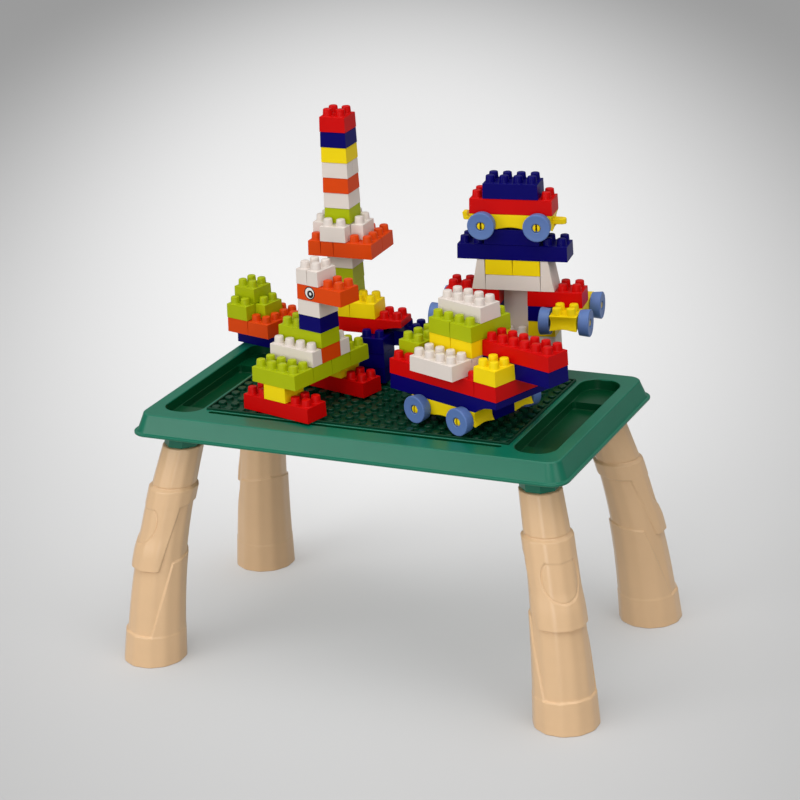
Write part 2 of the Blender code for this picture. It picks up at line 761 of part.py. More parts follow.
def leg(side_x, side_y, name):
    """A splayed leg: cone, sleeve, knee plate outside, calf plate inside, foot ring, socket on top."""
    outward = math.atan2(side_y * (FOOT_Y - LEG_TOP_Y), side_x * (FOOT_X - LEG_TOP_X))
    sections = (
        (0.0, 0.0, 0.0),
        (SLEEVE_START, 0.0, 0.0),
        (SLEEVE_START + STEP_EDGE, STEP_DEPTH, STEP_DEPTH),
        (SLEEVE_END, STEP_DEPTH, STEP_DEPTH),
        (SLEEVE_END + 2 * STEP_EDGE, 0.0, STEP_DEPTH),
        (KNEE_WAIST, 0.0, STEP_DEPTH / 2),
        (KNEE_BULGE, 0.0, KNEE_THICKNESS),
        (KNEE_BULGE + STEP_EDGE, STEP_DEPTH, KNEE_THICKNESS),
        (KNEE_END, STEP_DEPTH, KNEE_THICKNESS),
        (KNEE_END + STEP_EDGE, STEP_DEPTH, 0.0),
        (FOOT_RING_START - STEP_EDGE, STEP_DEPTH, 0.0),
        (FOOT_RING_START, STEP_DEPTH, STEP_DEPTH),
        (1.0, STEP_DEPTH, STEP_DEPTH),
    )
    rings = []
    for share, inside, outside in sections:
        height = LEG_TOP * (1 - share)
        base = LEG_TOP_RADIUS + (FOOT_RADIUS - STEP_DEPTH - LEG_TOP_RADIUS) * share
        cx, cy = leg_axis(height, side_x, side_y)
        ring = []
        for index in range(LEG_SIDES):
            angle = outward + 2 * math.pi * (index + 0.5) / LEG_SIDES
            raised = outside if math.cos(angle - outward) > 0 else inside
            radius = base + raised
            ring.append((cx + radius * math.cos(angle), cy + radius * math.sin(angle), height))
        rings.append(ring)
    thing = make_object(name, loft(bmesh.new(), rings), "wood")
    socket = []
    for height, radius in (
        (LEG_TOP - SPIGOT_LENGTH - FIT_GAP, SPIGOT_RADIUS),
        (LEG_TOP + FIT_GAP, SPIGOT_RADIUS + FIT_GAP),
        (LEG_TOP + TABLE_WALL, SPIGOT_RADIUS + FIT_GAP),
    ):
        centre = leg_axis(height, side_x, side_y)
        socket.append(polygon(BOSS_SIDES, radius, centre, height, math.pi / BOSS_SIDES))
    cut(thing, loft(bmesh.new(), socket))
    smooth(thing)
    return thing


def duck():
    """A bird on two long red feet, with wings, a neck and a long bill."""
    figure = Figure("duck", DUCK_PLACE)
    figure.brick("foot_front", "red", (0, 1, [(-1, 0, 6, 2)]), (1, 1, [(1, 0, 2, 2)]))
    figure.brick("foot_rear", "red", (0, 1, [(-1, 6, 6, 2)]), (1, 1, [(1, 6, 2, 2)]))
    figure.brick("body", "lime", (2, 1, [(0, 0, 4, 8)]))
    figure.brick("wings", "white", (3, 1, [(0, 2, 4, 4)]))
    figure.brick("back", "lime", (4, 1, [(0, 3, 4, 2)]))
    figure.brick("neck", "navy", (5, 2, [(2, 3, 2, 2)]))
    figure.brick("head", "orange", (7, 1, [(2, 3, 4, 2)]))
    figure.brick("hat", "white", (8, 1, [(2, 3, 2, 2)]))
    figure.build()


def truck():
    """A truck on two chassis, with a cab and a load of blocks."""
    clearance = WHEEL_RADIUS - AXLE_HEIGHT
    figure = Figure("truck", TRUCK_PLACE, FIGURE_FLOOR + clearance)
    figure.brick("bed", "navy", (0, 1, [(2, 2, 6, 2)]), (1, 1, [(0, 0, 10, 6)]))
    figure.brick("deck", "red", (2, 1, [(0, 0, 10, 6)]))
    figure.brick("load_white", "white", (3, 1, [(3, -1, 4, 4)]))
    figure.brick("lamp_yellow", "yellow", (3, 1, [(8, 0, 2, 2)]))
    figure.brick("load_lime", "lime", (3, 1, [(0, 1, 2, 4)]))
    figure.brick("cab", "red", (3, 2, [(7, 2, 6, 2)]))
    figure.brick("load_stack", "yellow", (4, 2, [(3, 1, 4, 4)]))
    figure.brick("load_top", "white", (6, 1, [(3, 2, 4, 2)]))
    made = figure.build()
    undercut(made["truck_bed"], 10, 0, 6, 1)
    front = chassis(figure, "chassis_front", "yellow", (2, 0, 0), ("near",))
    rear = chassis(figure, "chassis_rear", "yellow", (2, 4, 0), ("far",))
    wheels(front, "truck_wheel_front", ("near",))
    wheels(rear, "truck_wheel_rear", ("far",))


def robot():
    """A robot with a wheeled chassis for a head and one for each arm."""
    figure = Figure("robot", ROBOT_PLACE, FIGURE_FLOOR + ROBOT_LEG_LEVELS * BRICK_HEIGHT)
    for name, u in (("leg_left", 2), ("leg_right", 6)):
        figure.brick(name, "lime", (-ROBOT_LEG_LEVELS, ROBOT_LEG_LEVELS, [(u, 0, 2, 2)]))
    figure.brick("torso", "white", (0, 1, [(2, 0, 6, 2)]), (1, 3, [(4, 1, 2, 2)]))
    figure.brick("arm_left", "red", (1, 2, [(2, 0, 2, 2)]), (3, 1, [(0, 0, 4, 2)]))
    figure.brick("arm_right", "red", (1, 2, [(6, 0, 2, 2)]), (3, 1, [(6, 0, 4, 2)]))
    figure.brick("shoulders", "white", (4, 1, [(2, 0, 6, 2)]), (5, 1, [(2, 0, 1, 2)]), (5, 1, [(7, 0, 1, 2)]))
    figure.brick("neck", "yellow", (5, 1, [(3, 0, 4, 2)]))
    figure.brick("mouth", "navy", (6, 1, [(1, 0, 8, 2)]), (7, 1, [(3, 0, 4, 2)]))
    figure.brick("crown", "red", (9, 1, [(2, 0, 6, 2)]), (10, 1, [(3, 0, 4, 2)]))
    figure.cover(8, (2, 0, CHASSIS_STUDS, 2))
    made = figure.build()
    slope_side(made["robot_shoulders"], 2, 1, 0, 2, 4, 2)
    slope_side(made["robot_shoulders"], 8, -1, 0, 2, 4, 2)
    head = chassis(figure, "head", "yellow", (2, 0, 8), coupled=True)
    wheels(head, "robot_eye_wheel", ("near",))
    for side, u in (("left", 0), ("right", 8)):
        exposed = [(i, j) for i in (0, 1) for j in (0, 1)]
        arm = chassis(figure, f"arm_chassis_{side}", "yellow", (u, -2, 2), studded=exposed, turned=True)
        wheels(arm, f"robot_wheel_{side}", ("near", "far"))


def tower():
    """A ship with a tall striped mast, on two navy feet."""
    figure = Figure("tower", TOWER_PLACE)
    figure.brick("foot_right", "navy", (0, 3, [(3, -2, 2, 2)]))
    figure.brick("foot_left", "navy", (0, 3, [(-2, -1, 2, 2)]))
    figure.brick("stern", "navy", (2, 1, [(3, 0, 4, 2)]))
    figure.brick("hull", "red", (3, 1, [(-2, -1, 8, 2)]))
    figure.brick("deck", "yellow", (4, 1, [(0, -1, 4, 2)]))
    figure.brick("column", "lime", (5, 3, [(0, 0, 2, 2)]))
    figure.brick(
        "gallery", "orange",
        (8, 1, [(-1, -1, 5, 4)]),
        (9, 1, [(0, -1, 2, 4), (-1, 0, 4, 2)]),
    )
    figure.brick("mast", "lime", (10, 7, [(0, 0, 2, 2)]))
    made = figure.build()
    undercut(made["tower_hull"], 6, -1, 1, 3)


def tree():
    """A round bush of lime bricks on an orange wall."""
    figure = Figure("tree", TREE_PLACE, RIM_TOP + FIT_GAP)
    figure.brick("wall", "orange", (0, 1, [(0, 1, 4, 2)]), (1, 1, [(0, 0, 4, 4), (4, 2, 2, 2)]))
    figure.brick("crown", "lime", (2, 1, [(0, 0, 2, 3), (2, 1, 1, 2)]), (3, 1, [(0, 1, 2, 2)]))
    figure.build()


def main():
    clear_scene()
    tabletop()
    stud_plate()
    for side_x, side_y, name in corners():
        leg(side_x, side_y, name)
    duck()
    truck()
    robot()
    tower()
    tree()
    bpy.context.view_layer.update()
    print("pieces:", sum(thing.type == "MESH" for thing in bpy.data.objects))


main()
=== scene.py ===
import math

import bmesh
import bpy
from mathutils import Matrix, Vector


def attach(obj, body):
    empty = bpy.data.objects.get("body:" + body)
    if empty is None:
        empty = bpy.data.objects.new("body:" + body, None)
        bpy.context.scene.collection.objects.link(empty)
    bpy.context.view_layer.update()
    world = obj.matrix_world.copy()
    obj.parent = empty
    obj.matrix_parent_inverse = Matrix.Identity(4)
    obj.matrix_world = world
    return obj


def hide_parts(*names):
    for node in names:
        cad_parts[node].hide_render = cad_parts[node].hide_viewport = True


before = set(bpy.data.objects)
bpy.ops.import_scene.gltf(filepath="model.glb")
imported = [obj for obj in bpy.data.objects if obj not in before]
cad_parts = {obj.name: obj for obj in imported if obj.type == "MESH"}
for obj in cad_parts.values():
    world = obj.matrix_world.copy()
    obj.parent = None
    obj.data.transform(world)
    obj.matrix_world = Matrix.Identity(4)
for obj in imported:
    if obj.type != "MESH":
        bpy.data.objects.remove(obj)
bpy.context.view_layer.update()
print("stage: frame loaded,", len(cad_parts), "nodes")

# Finishes: linear colour, roughness, shine, how far the tone wanders and how deep the grain is

finishes = {
    "green": ((0.0032, 0.150, 0.086), 0.32, 0.45, 0.10, 0.12),
    "plate": ((0.0010, 0.040, 0.018), 0.30, 0.20, 0.10, 0.08),
    # deep is painted shade: a darker green for the faces inside the bins, the plate pocket and the groove
    "deep": ((0.0008, 0.060, 0.020), 0.30, 0.20, 0.10, 0.12),
    "sand": ((0.760, 0.505, 0.285), 0.32, 0.50, 0.04, 0.03),
    "red": ((0.610, 0.0020, 0.0018), 0.34, 0.10, 0.08, 0.08),
    "yellow": ((0.900, 0.670, 0.004), 0.34, 0.12, 0.05, 0.08),
    "lime": ((0.400, 0.475, 0.003), 0.34, 0.12, 0.07, 0.08),
    "navy": ((0.0020, 0.0008, 0.120), 0.32, 0.08, 0.10, 0.08),
    "white": ((0.760, 0.680, 0.620), 0.36, 0.25, 0.03, 0.08),
    "orange": ((0.710, 0.062, 0.003), 0.34, 0.12, 0.07, 0.08),
    "blue": ((0.105, 0.190, 0.450), 0.40, 0.30, 0.07, 0.12),
    "eyeWhite": ((0.820, 0.800, 0.780), 0.26, 0.50, 0.02, 0.03),
    "eyeBlack": ((0.005, 0.005, 0.006), 0.24, 0.50, 0.04, 0.03),
}
grain = {
    "flowScale": 28.0,  # broad flow marks of the moulding, per metre
    "flowDetail": 3.0,
    "patchScale": 140.0,
    "patchDetail": 4.0,
    "patchLow": 0.3,  # the noise is mostly between these two
    "patchHigh": 0.7,
    "patchRough": 0.02,
    "fineScale": 2600.0,
    "fineDetail": 2.0,
    "fineDepth": 0.00006,
}


def addNode(tree, kind, settings=(), values=(), wires=()):
    # A node with its settings first, then its sockets' values and what is wired into them
    made = tree.nodes.new(kind)
    for name, value in dict(settings).items():
        setattr(made, name, value)
    for socket, value in dict(values).items():
        made.inputs[socket].default_value = value
    for socket, source in dict(wires).items():
        tree.links.new(source, made.inputs[socket])
    return made


def noiseNode(tree, place, kind):
    values = {"Scale": grain[kind + "Scale"], "Detail": grain[kind + "Detail"]}
    return addNode(tree, "ShaderNodeTexNoise", (), values, {"Vector": place.outputs["Object"]})


def toneNode(tree, near, far, share):
    tones = {"A": (*near, 1), "B": (*far, 1)}
    return addNode(tree, "ShaderNodeMix", {"data_type": "RGBA"}, tones, {"Factor": share})


def mouldedPlastic(name):
    colour, rough, shine, wander, depth = finishes[name]
    made = bpy.data.materials.new("moulded" + name[0].upper() + name[1:])
    made.use_nodes = True
    tree = made.node_tree
    shader = tree.nodes["Principled BSDF"]
    shader.inputs["Specular IOR Level"].default_value = shine
    place = addNode(tree, "ShaderNodeTexCoord")

    # The tone wanders a little where the melt flowed
    flow = noiseNode(tree, place, "flow")
    dark = [channel * (1 - wander) for channel in colour]
    light = [min(1.0, channel * (1 + wander)) for channel in colour]
    tone = toneNode(tree, dark, light, flow.outputs["Fac"])
    tree.links.new(tone.outputs["Result"], shader.inputs["Base Color"])

    # Roughness in patches, from handling
    patch = noiseNode(tree, place, "patch")
    reach = {
        "From Min": grain["patchLow"],
        "From Max": grain["patchHigh"],
        "To Min": rough - grain["patchRough"] / 2,
        "To Max": rough + grain["patchRough"],
    }
    spread = addNode(tree, "ShaderNodeMapRange", (), reach, {"Value": patch.outputs["Fac"]})
    tree.links.new(spread.outputs["Result"], shader.inputs["Roughness"])

    # The fine texture of the mould
    fine = noiseNode(tree, place, "fine")
    force = {"Strength": depth, "Distance": grain["fineDepth"]}
    bump = addNode(tree, "ShaderNodeBump", (), force, {"Height": fine.outputs["Fac"]})
    tree.links.new(bump.outputs["Normal"], shader.inputs["Normal"])
    return made


plastics = {name: mouldedPlastic(name) for name in finishes}
print("stage: finishes made")

# Helpers for meshes


def newObject(name, bm, colour=None):
    bmesh.ops.recalc_face_normals(bm, faces=bm.faces)
    mesh = bpy.data.meshes.new(name)
    bm.to_mesh(mesh)
    bm.free()
    thing = bpy.data.objects.new(name, mesh)
    bpy.context.collection.objects.link(thing)
    if colour:
        mesh.materials.append(plastics[colour])
    return thing


def dropObject(thing):
    mesh = thing.data
    bpy.data.objects.remove(thing)
    if mesh and not mesh.users:
        bpy.data.meshes.remove(mesh)


def shadeRound(thing, angle=32):
    thing.data.shade_smooth()
    thing.data.set_sharp_from_angle(angle=math.radians(angle))


def evenNormals(thing):
    step = thing.modifiers.new("evenNormals", "WEIGHTED_NORMAL")
    step.keep_sharp = True


def finishPiece(thing, body, colour, *nodes):
    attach(thing, body)
    if nodes:
        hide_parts(*nodes)


def closeBetween(bm, lower, upper):
    count = len(lower)
    for index in range(count):
        after = (index + 1) % count
        bm.faces.new((lower[index], lower[after], upper[after], upper[index]))


def loft(bm, rings, capped=True):
    loops = [[bm.verts.new(point) for point in ring] for ring in rings]
    for lower, upper in zip(loops, loops[1:]):
        closeBetween(bm, lower, upper)
    if capped:
        bm.faces.new(loops[0][::-1])
        bm.faces.new(loops[-1])
    return loops


def onCircle(centre, radius, angle, height):
    return (centre[0] + radius * math.cos(angle), centre[1] + radius * math.sin(angle), height)


def roundOutline(xLow, xHigh, yLow, yHigh, radius, height, steps=10):
    points = []
    corners = (
        (xHigh - radius, yLow + radius, -90),
        (xHigh - radius, yHigh - radius, 0),
        (xLow + radius, yHigh - radius, 90),
        (xLow + radius, yLow + radius, 180),
    )
    for x, y, start in corners:
        for step in range(steps + 1):
            points.append(onCircle((x, y), radius, math.radians(start + 90 * step / steps), height))
    return points


def polygonRing(sides, radius, centre, height):
    return [onCircle(centre, radius, 2 * math.pi * (index + 0.5) / sides, height) for index in range(sides)]


def combine(target, bm, operation):
    tool = newObject("tool", bm)
    step = target.modifiers.new(operation, "BOOLEAN")
    step.operation = operation
    step.object = tool
    bpy.context.view_layer.update()
    solid = target.evaluated_get(bpy.context.evaluated_depsgraph_get())
    result = bpy.data.meshes.new_from_object(solid)
    target.modifiers.clear()
    old = target.data
    target.data = result
    bpy.data.meshes.remove(old)
    dropObject(tool)


# The studded top that bricks and the plate share, grown by Geometry Nodes

mergeWithin = 0.00002  # tiles meet at points closer than this


def studdedTopTree():
    tree = bpy.data.node_groups.new("studdedTop", "GeometryNodeTree")
    sockets = {
        "Cells": "Geometry",
        "Along": "Int",
        "Across": "Int",
        "Pitch": "Float",
        "Edge Inset": "Float",
        "Stud Tile": "Object",
        "Flat Tile": "Object",
        "Finish": "Material",
    }
    for label, kind in sockets.items():
        tree.interface.new_socket(label, in_out="INPUT", socket_type="NodeSocket" + kind)
    tree.interface.new_socket("Top", in_out="OUTPUT", socket_type="NodeSocketGeometry")
    given = addNode(tree, "NodeGroupInput").outputs
    bare = addNode(tree, "GeometryNodeInputNamedAttribute", {"data_type": "BOOLEAN"}, {"Name": "bare"})
    flip = {0: bare.outputs["Attribute"]}
    covered = addNode(tree, "FunctionNodeBooleanMath", {"operation": "NOT"}, (), flip)
    joined = addNode(tree, "GeometryNodeJoinGeometry")
    for label, chosen in (("Stud Tile", bare), ("Flat Tile", covered)):
        tile = addNode(tree, "GeometryNodeObjectInfo", (), (), {"Object": given[label]})
        wires = {
            "Points": given["Cells"],
            "Instance": tile.outputs["Geometry"],
            "Selection": chosen.outputs[0],
        }
        placed = addNode(tree, "GeometryNodeInstanceOnPoints", (), (), wires)
        tree.links.new(placed.outputs["Instances"], joined.inputs["Geometry"])
    whole = {"Geometry": joined.outputs["Geometry"]}
    realized = addNode(tree, "GeometryNodeRealizeInstances", (), (), whole)
    whole = {"Geometry": realized.outputs["Geometry"]}
    merged = addNode(tree, "GeometryNodeMergeByDistance", (), {"Distance": mergeWithin}, whole)

    # The outer cells are drawn in by the edge inset
    farCorner = addNode(tree, "ShaderNodeCombineXYZ", (), {"Z": 1.0})
    nearCorner = addNode(tree, "ShaderNodeCombineXYZ", (), {"Z": -1.0})
    for axis, count in (("X", "Along"), ("Y", "Across")):
        wires = {0: given[count], 1: given["Pitch"]}
        length = addNode(tree, "ShaderNodeMath", {"operation": "MULTIPLY"}, (), wires)
        wires = {0: length.outputs[0], 1: given["Edge Inset"]}
        reach = addNode(tree, "ShaderNodeMath", {"operation": "SUBTRACT"}, (), wires)
        tree.links.new(reach.outputs[0], farCorner.inputs[axis])
        tree.links.new(given["Edge Inset"], nearCorner.inputs[axis])
    spot = addNode(tree, "GeometryNodeInputPosition").outputs["Position"]
    for operation, corner in (("MINIMUM", farCorner), ("MAXIMUM", nearCorner)):
        wires = {0: spot, 1: corner.outputs["Vector"]}
        spot = addNode(tree, "ShaderNodeVectorMath", {"operation": operation}, (), wires).outputs["Vector"]
    wires = {"Geometry": merged.outputs["Geometry"], "Position": spot}
    moved = addNode(tree, "GeometryNodeSetPosition", (), (), wires)
    wires = {"Geometry": moved.outputs["Geometry"], "Material": given["Finish"]}
    painted = addNode(tree, "GeometryNodeSetMaterial", (), (), wires)
    addNode(tree, "NodeGroupOutput", (), (), {"Top": painted.outputs["Geometry"]})
    return tree


def grow(host, tree, settings):
    step = host.modifiers.new(tree.name, "NODES")
    step.node_group = tree
    for item in tree.interface.items_tree:
        if item.in_out == "INPUT" and item.name in settings:
            step[item.identifier] = settings[item.name]
    bpy.context.view_layer.update()
    solid = host.evaluated_get(bpy.context.evaluated_depsgraph_get())
    grown = bpy.data.meshes.new_from_object(solid)
    host.modifiers.clear()
    return grown


def squareReach(angle, half):
    x = math.cos(angle)
    y = math.sin(angle)
    stretch = half / max(abs(x), abs(y))
    return x * stretch, y * stretch


def studTile(name, pitch, stud):
    # One cell of a top: a square rim of points, and the stud when there is one
    bm = bmesh.new()
    sides = 16
    angles = [2 * math.pi * index / sides for index in range(sides)]
    rim = [bm.verts.new((*squareReach(angle, pitch / 2), 0)) for angle in angles]
    if not stud:
        bm.faces.new(rim)
        return newObject(name, bm)
    loops = [rim]
    tip = stud["topWidth"] / 2
    edge = stud["edge"]
    stations = [(stud["width"] / 2 + edge / 2, 0.0), (stud["width"] / 2, edge / 2)]
    for step in range(stud["edgeSteps"] + 1):
        turn = math.pi / 2 * step / stud["edgeSteps"]
        stations.append((tip - edge + edge * math.cos(turn), stud["height"] - edge + edge * math.sin(turn)))
    for radius, height in stations:
        loops.append([bm.verts.new(onCircle((0, 0), radius, angle, height)) for angle in angles])
    for lower, upper in zip(loops, loops[1:]):
        closeBetween(bm, lower, upper)
    bm.faces.new(loops[-1])
    return newObject(name, bm)


brickShape = {
    "pitch": 0.016,
    "height": 0.0178,
    "gap": 0.0003,  # between a brick and the next one
    "draft": 0.00042,  # how far each wall leans in towards its top
    "chamfer": 0.00035,
    "footChamfer": 0.00015,
    "wall": 0.0018,
    "roof": 0.0021,
    "tubeWidth": 0.0110,
    "tubeWall": 0.0012,
    "tubeSides": 16,
}
brickStud = {"width": 0.0112, "topWidth": 0.0101, "height": 0.0082, "edge": 0.0011, "edgeSteps": 2}
plateStud = {"width": 0.0104, "topWidth": 0.0098, "height": 0.0040, "edge": 0.0007, "edgeSteps": 1}

topTree = studdedTopTree()
pitch = brickShape["pitch"]
brickTile = studTile("brickStudTile", pitch, brickStud)
flatTile = studTile("flatTile", pitch, None)
plateTile = studTile("plateStudTile", pitch, plateStud)


def studdedTop(along, across, bareCells, edgeInset, tile, colour):
    # The cells' centres, each marked bare where its stud shows
    cells = [(i, j) for i in range(along) for j in range(across)]
    mesh = bpy.data.meshes.new("cells")
    mesh.from_pydata([(pitch * (i + 0.5), pitch * (j + 0.5), 0) for i, j in cells], [], [])
    marks = mesh.attributes.new("bare", "BOOLEAN", "POINT")
    for index, cell in enumerate(cells):
        marks.data[index].value = cell in bareCells
    host = bpy.data.objects.new("cells", mesh)
    bpy.context.collection.objects.link(host)
    settings = {
        "Along": along,
        "Across": across,
        "Pitch": pitch,
        "Edge Inset": edgeInset,
        "Stud Tile": tile,
        "Flat Tile": flatTile,
        "Finish": plastics[colour],
    }
    grown = grow(host, topTree, settings)
    dropObject(host)
    return grown


def rimLoop(bm):
    # The open edge of a studded top, in order round it
    edges = {edge for edge in bm.edges if edge.is_boundary}
    start = min(edges, key=lambda edge: edge.index)
    loop = [start.verts[0], start.verts[1]]
    while True:
        here = loop[-1]
        after = [edge.other_vert(here) for edge in here.link_edges if edge in edges]
        following = [vert for vert in after if vert is not loop[-2]][0]
        if following is loop[0]:
            return loop
        loop.append(following)


def openTop(along, across, bareCells, edgeInset, tile, colour, height):
    # A studded top at its height, its rim in order, and where the rim's points are
    grown = studdedTop(along, across, bareCells, edgeInset, tile, colour)
    bm = bmesh.new()
    bm.from_mesh(grown)
    bpy.data.meshes.remove(grown)
    bm.edges.ensure_lookup_table()
    bmesh.ops.translate(bm, vec=(0, 0, height), verts=bm.verts)
    rim = rimLoop(bm)
    return bm, rim, [(vert.co.x, vert.co.y) for vert in rim]


def rimRing(bm, outer, size, inset, height):
    # The rim's points once more, moved square outwards or inwards to an inset
    halfX, halfY = size[0] / 2, size[1] / 2
    stretchX = (halfX - inset) / max(abs(x - halfX) for x, y in outer)
    stretchY = (halfY - inset) / max(abs(y - halfY) for x, y in outer)
    spots = [(halfX + (x - halfX) * stretchX, halfY + (y - halfY) * stretchY, height) for x, y in outer]
    return [bm.verts.new(spot) for spot in spots]


def brickMesh(along, across, levels, bareCells, colour, hollow, undercut=None, lean=0):
    # A moulded brick in its own corner: studded top, leaning walls and an underside
    shape = brickShape
    gap = shape["gap"] / 2
    top = levels * shape["height"] - shape["gap"]
    topInset = gap + shape["draft"] * levels + shape["chamfer"]
    bm, rim, outer = openTop(along, across, bareCells, topInset, brickTile, colour, top)
    size = (along * pitch, across * pitch)
    stations = (
        (gap + shape["draft"] * levels, top - shape["chamfer"]),
        (gap, shape["footChamfer"]),
        (gap + shape["footChamfer"], 0.0),
    )
    walls = [rimRing(bm, outer, size, inset, height) for inset, height in stations]
    for upper, lower in zip([rim] + walls, walls):
        closeBetween(bm, lower, upper)
    if undercut:
        raiseEnd(walls[1:], size[0], undercut)
        closeInStrips(bm, walls[-1])
    elif hollow:
        roof = shape["height"] - shape["gap"] - shape["roof"]
        foot = rimRing(bm, outer, size, shape["wall"], 0.0)
        ceiling = rimRing(bm, outer, size, shape["wall"] + gap, roof)
        closeBetween(bm, foot, walls[-1])
        closeBetween(bm, ceiling, foot)
        bm.faces.new(ceiling)
        addTubes(bm, along, across, roof + gap)
    else:
        bm.faces.new(walls[-1])
    if lean:
        leanSide(bm, size[0], lean, levels)
    return bm


def addTubes(bm, along, across, roof):
    # The tubes that grip the studs below, between every four studs
    shape = brickShape
    outer = shape["tubeWidth"] / 2
    inner = outer - shape["tubeWall"]
    foot = shape["gap"] * 2
    for i in range(1, along):
        for j in range(1, across):
            centre = (pitch * i, pitch * j)
            stations = ((outer, roof), (outer, foot), (inner, foot), (inner, roof))
            rings = [polygonRing(shape["tubeSides"], radius, centre, height) for radius, height in stations]
            loops = loft(bm, rings, capped=False)
            closeBetween(bm, loops[-1], loops[0])


undercutShape = {"reach": 0.0300, "topWall": 0.0072, "below": 0.0009}
slopeShape = {"reach": 0.0080, "start": 0.0018, "beyond": 0.0082}


def raiseEnd(loops, length, levels):
    # Curve the underside of the far end up to its top edge
    rise = levels * brickShape["height"] - undercutShape["topWall"]
    for loop in loops:
        for vert in loop:
            fromEnd = (length - vert.co.x) / undercutShape["reach"]
            if fromEnd < 1:
                lift = rise * math.sqrt(1 - max(0.0, fromEnd) ** 2) - undercutShape["below"]
                vert.co.z += max(0.0, lift)


def closeInStrips(bm, loop):
    # Close a raised underside with strips from side to side
    near = 1e-6
    low = min(vert.co.y for vert in loop)
    high = max(vert.co.y for vert in loop)
    nearSide = sorted((vert for vert in loop if vert.co.y - low < near), key=lambda vert: vert.co.x)
    farSide = sorted((vert for vert in loop if high - vert.co.y < near), key=lambda vert: vert.co.x)
    inside = [vert for vert in loop if low + near < vert.co.y < high - near]
    ends = []
    for corner in (nearSide[0], nearSide[-1]):
        end = [vert for vert in inside if abs(vert.co.x - corner.co.x) < near]
        ends.append(sorted(end, key=lambda vert: vert.co.y))
    last = len(nearSide) - 2
    for index in range(last + 1):
        face = [nearSide[index], nearSide[index + 1]]
        if index == last:
            face += ends[1]
        face += [farSide[index + 1], farSide[index]]
        if index == 0:
            face += ends[0][::-1]
        bm.faces.new(face)


def leanSide(bm, length, lean, levels):
    # Slope one end of a tall brick inwards; lean is -1 at the near end and 1 at the far end
    total = levels * brickShape["height"] + slopeShape["beyond"] - slopeShape["start"]
    for vert in bm.verts:
        share = max(0.0, (vert.co.z - slopeShape["start"]) / total)
        along = vert.co.x / length if lean > 0 else 1 - vert.co.x / length
        vert.co.x -= lean * slopeShape["reach"] * share * max(0.0, along)


# The block figures: where each stands, and its bricks by the node they stand for.
# A brick is its colour, level, corner cell along and across, and its studs along and across

duck = {
    "turn": -14.8,
    "place": (-0.1257, -0.0983, 0.3043),
    "bricks": {
        "duck_foot_front": [("red", 0, -1, 0, 6, 2), ("yellow", 1, 1, 0, 2, 2)],
        "duck_foot_rear": [("red", 0, -1, 6, 6, 2), ("yellow", 1, 1, 6, 2, 2)],
        "duck_body": [("lime", 2, 0, v, 4, 2) for v in (0, 2, 4, 6)],
        "duck_wings": [("white", 3, 0, 2, 4, 1), ("orange", 3, 0, 3, 4, 2), ("white", 3, 0, 5, 4, 1)],
        "duck_back": [("lime", 4, 0, 3, 4, 2)],
        "duck_neck": [("navy", 5, 2, 3, 2, 2), ("white", 6, 2, 3, 2, 2)],
        "duck_head": [("orange", 7, 2, 3, 4, 2)],
        "duck_hat": [("white", 8, 2, 3, 1, 2), ("white", 8, 3, 3, 1, 2)],
    },
}
truck = {
    "turn": -20.4,
    "place": (0.0226, -0.0518, 0.3135),
    "bricks": {
        "truck_bed": [("navy", 0, 2, 2, 6, 2), ("navy", 1, 0, 0, 10, 6, {"undercut": 1})],
        "truck_deck": [("red", 2, 0, v, 8, 2) for v in (0, 2, 4)]
        + [("red", 2, 8, 0, 2, 4), ("red", 2, 8, 4, 2, 2)],
        "truck_load_white": [("white", 3, 3, -1, 4, 2), ("white", 3, 3, 1, 4, 2)],
        "truck_lamp_yellow": [("yellow", 3, 8, 0, 2, 2)],
        "truck_load_lime": [("lime", 3, 0, 1, 2, 4)],
        "truck_cab": [("navy", 3, 7, 2, 6, 2), ("red", 4, 7, 2, 6, 2)],
        "truck_load_stack": [("yellow", 4, 3, 1, 2, 4), ("yellow", 4, 5, 1, 2, 4)]
        + [("lime", 5, 3, 1, 2, 4), ("lime", 5, 5, 1, 2, 4)],
        "truck_load_top": [("white", 6, 3, 2, 4, 2)],
    },
}
robot = {
    "turn": 8.0,
    "place": (0.0390, 0.0720, 0.3399),
    "bricks": {
        "robot_leg_left": [("lime", level, 2, 0, 2, 2) for level in (-2, -1)],
        "robot_leg_right": [("lime", level, 6, 0, 2, 2) for level in (-2, -1)],
        "robot_torso": [("white", 0, 2, 0, 6, 2), ("white", 1, 4, 1, 2, 2, {"levels": 3})],
        "robot_arm_left": [("yellow", 1, 2, 0, 2, 2), ("navy", 2, 2, 0, 2, 2), ("red", 3, 0, 0, 4, 2)],
        "robot_arm_right": [("yellow", 1, 6, 0, 2, 2), ("navy", 2, 6, 0, 2, 2), ("red", 3, 6, 0, 4, 2)],
        "robot_shoulders": [
            ("white", 4, 3, 0, 4, 2),
            ("white", 4, 2, 0, 1, 2, {"levels": 2, "lean": -1}),
            ("white", 4, 7, 0, 1, 2, {"levels": 2, "lean": 1}),
        ],
        "robot_neck": [("yellow", 5, 3, 0, 2, 2), ("yellow", 5, 5, 0, 2, 2)],
        "robot_mouth": [("navy", 6, 1, 0, 8, 2), ("navy", 7, 3, 0, 4, 2)],
        "robot_crown": [("red", 9, 2, 0, 6, 2), ("navy", 10, 3, 0, 4, 2)],
    },
    "covered": [(8, 2, 0, 6, 2)],  # the head chassis: level, corner cell and studs
}
mastStripes = (("lime", 10), ("white", 11), ("orange", 12), ("yellow", 14), ("navy", 15), ("red", 16))
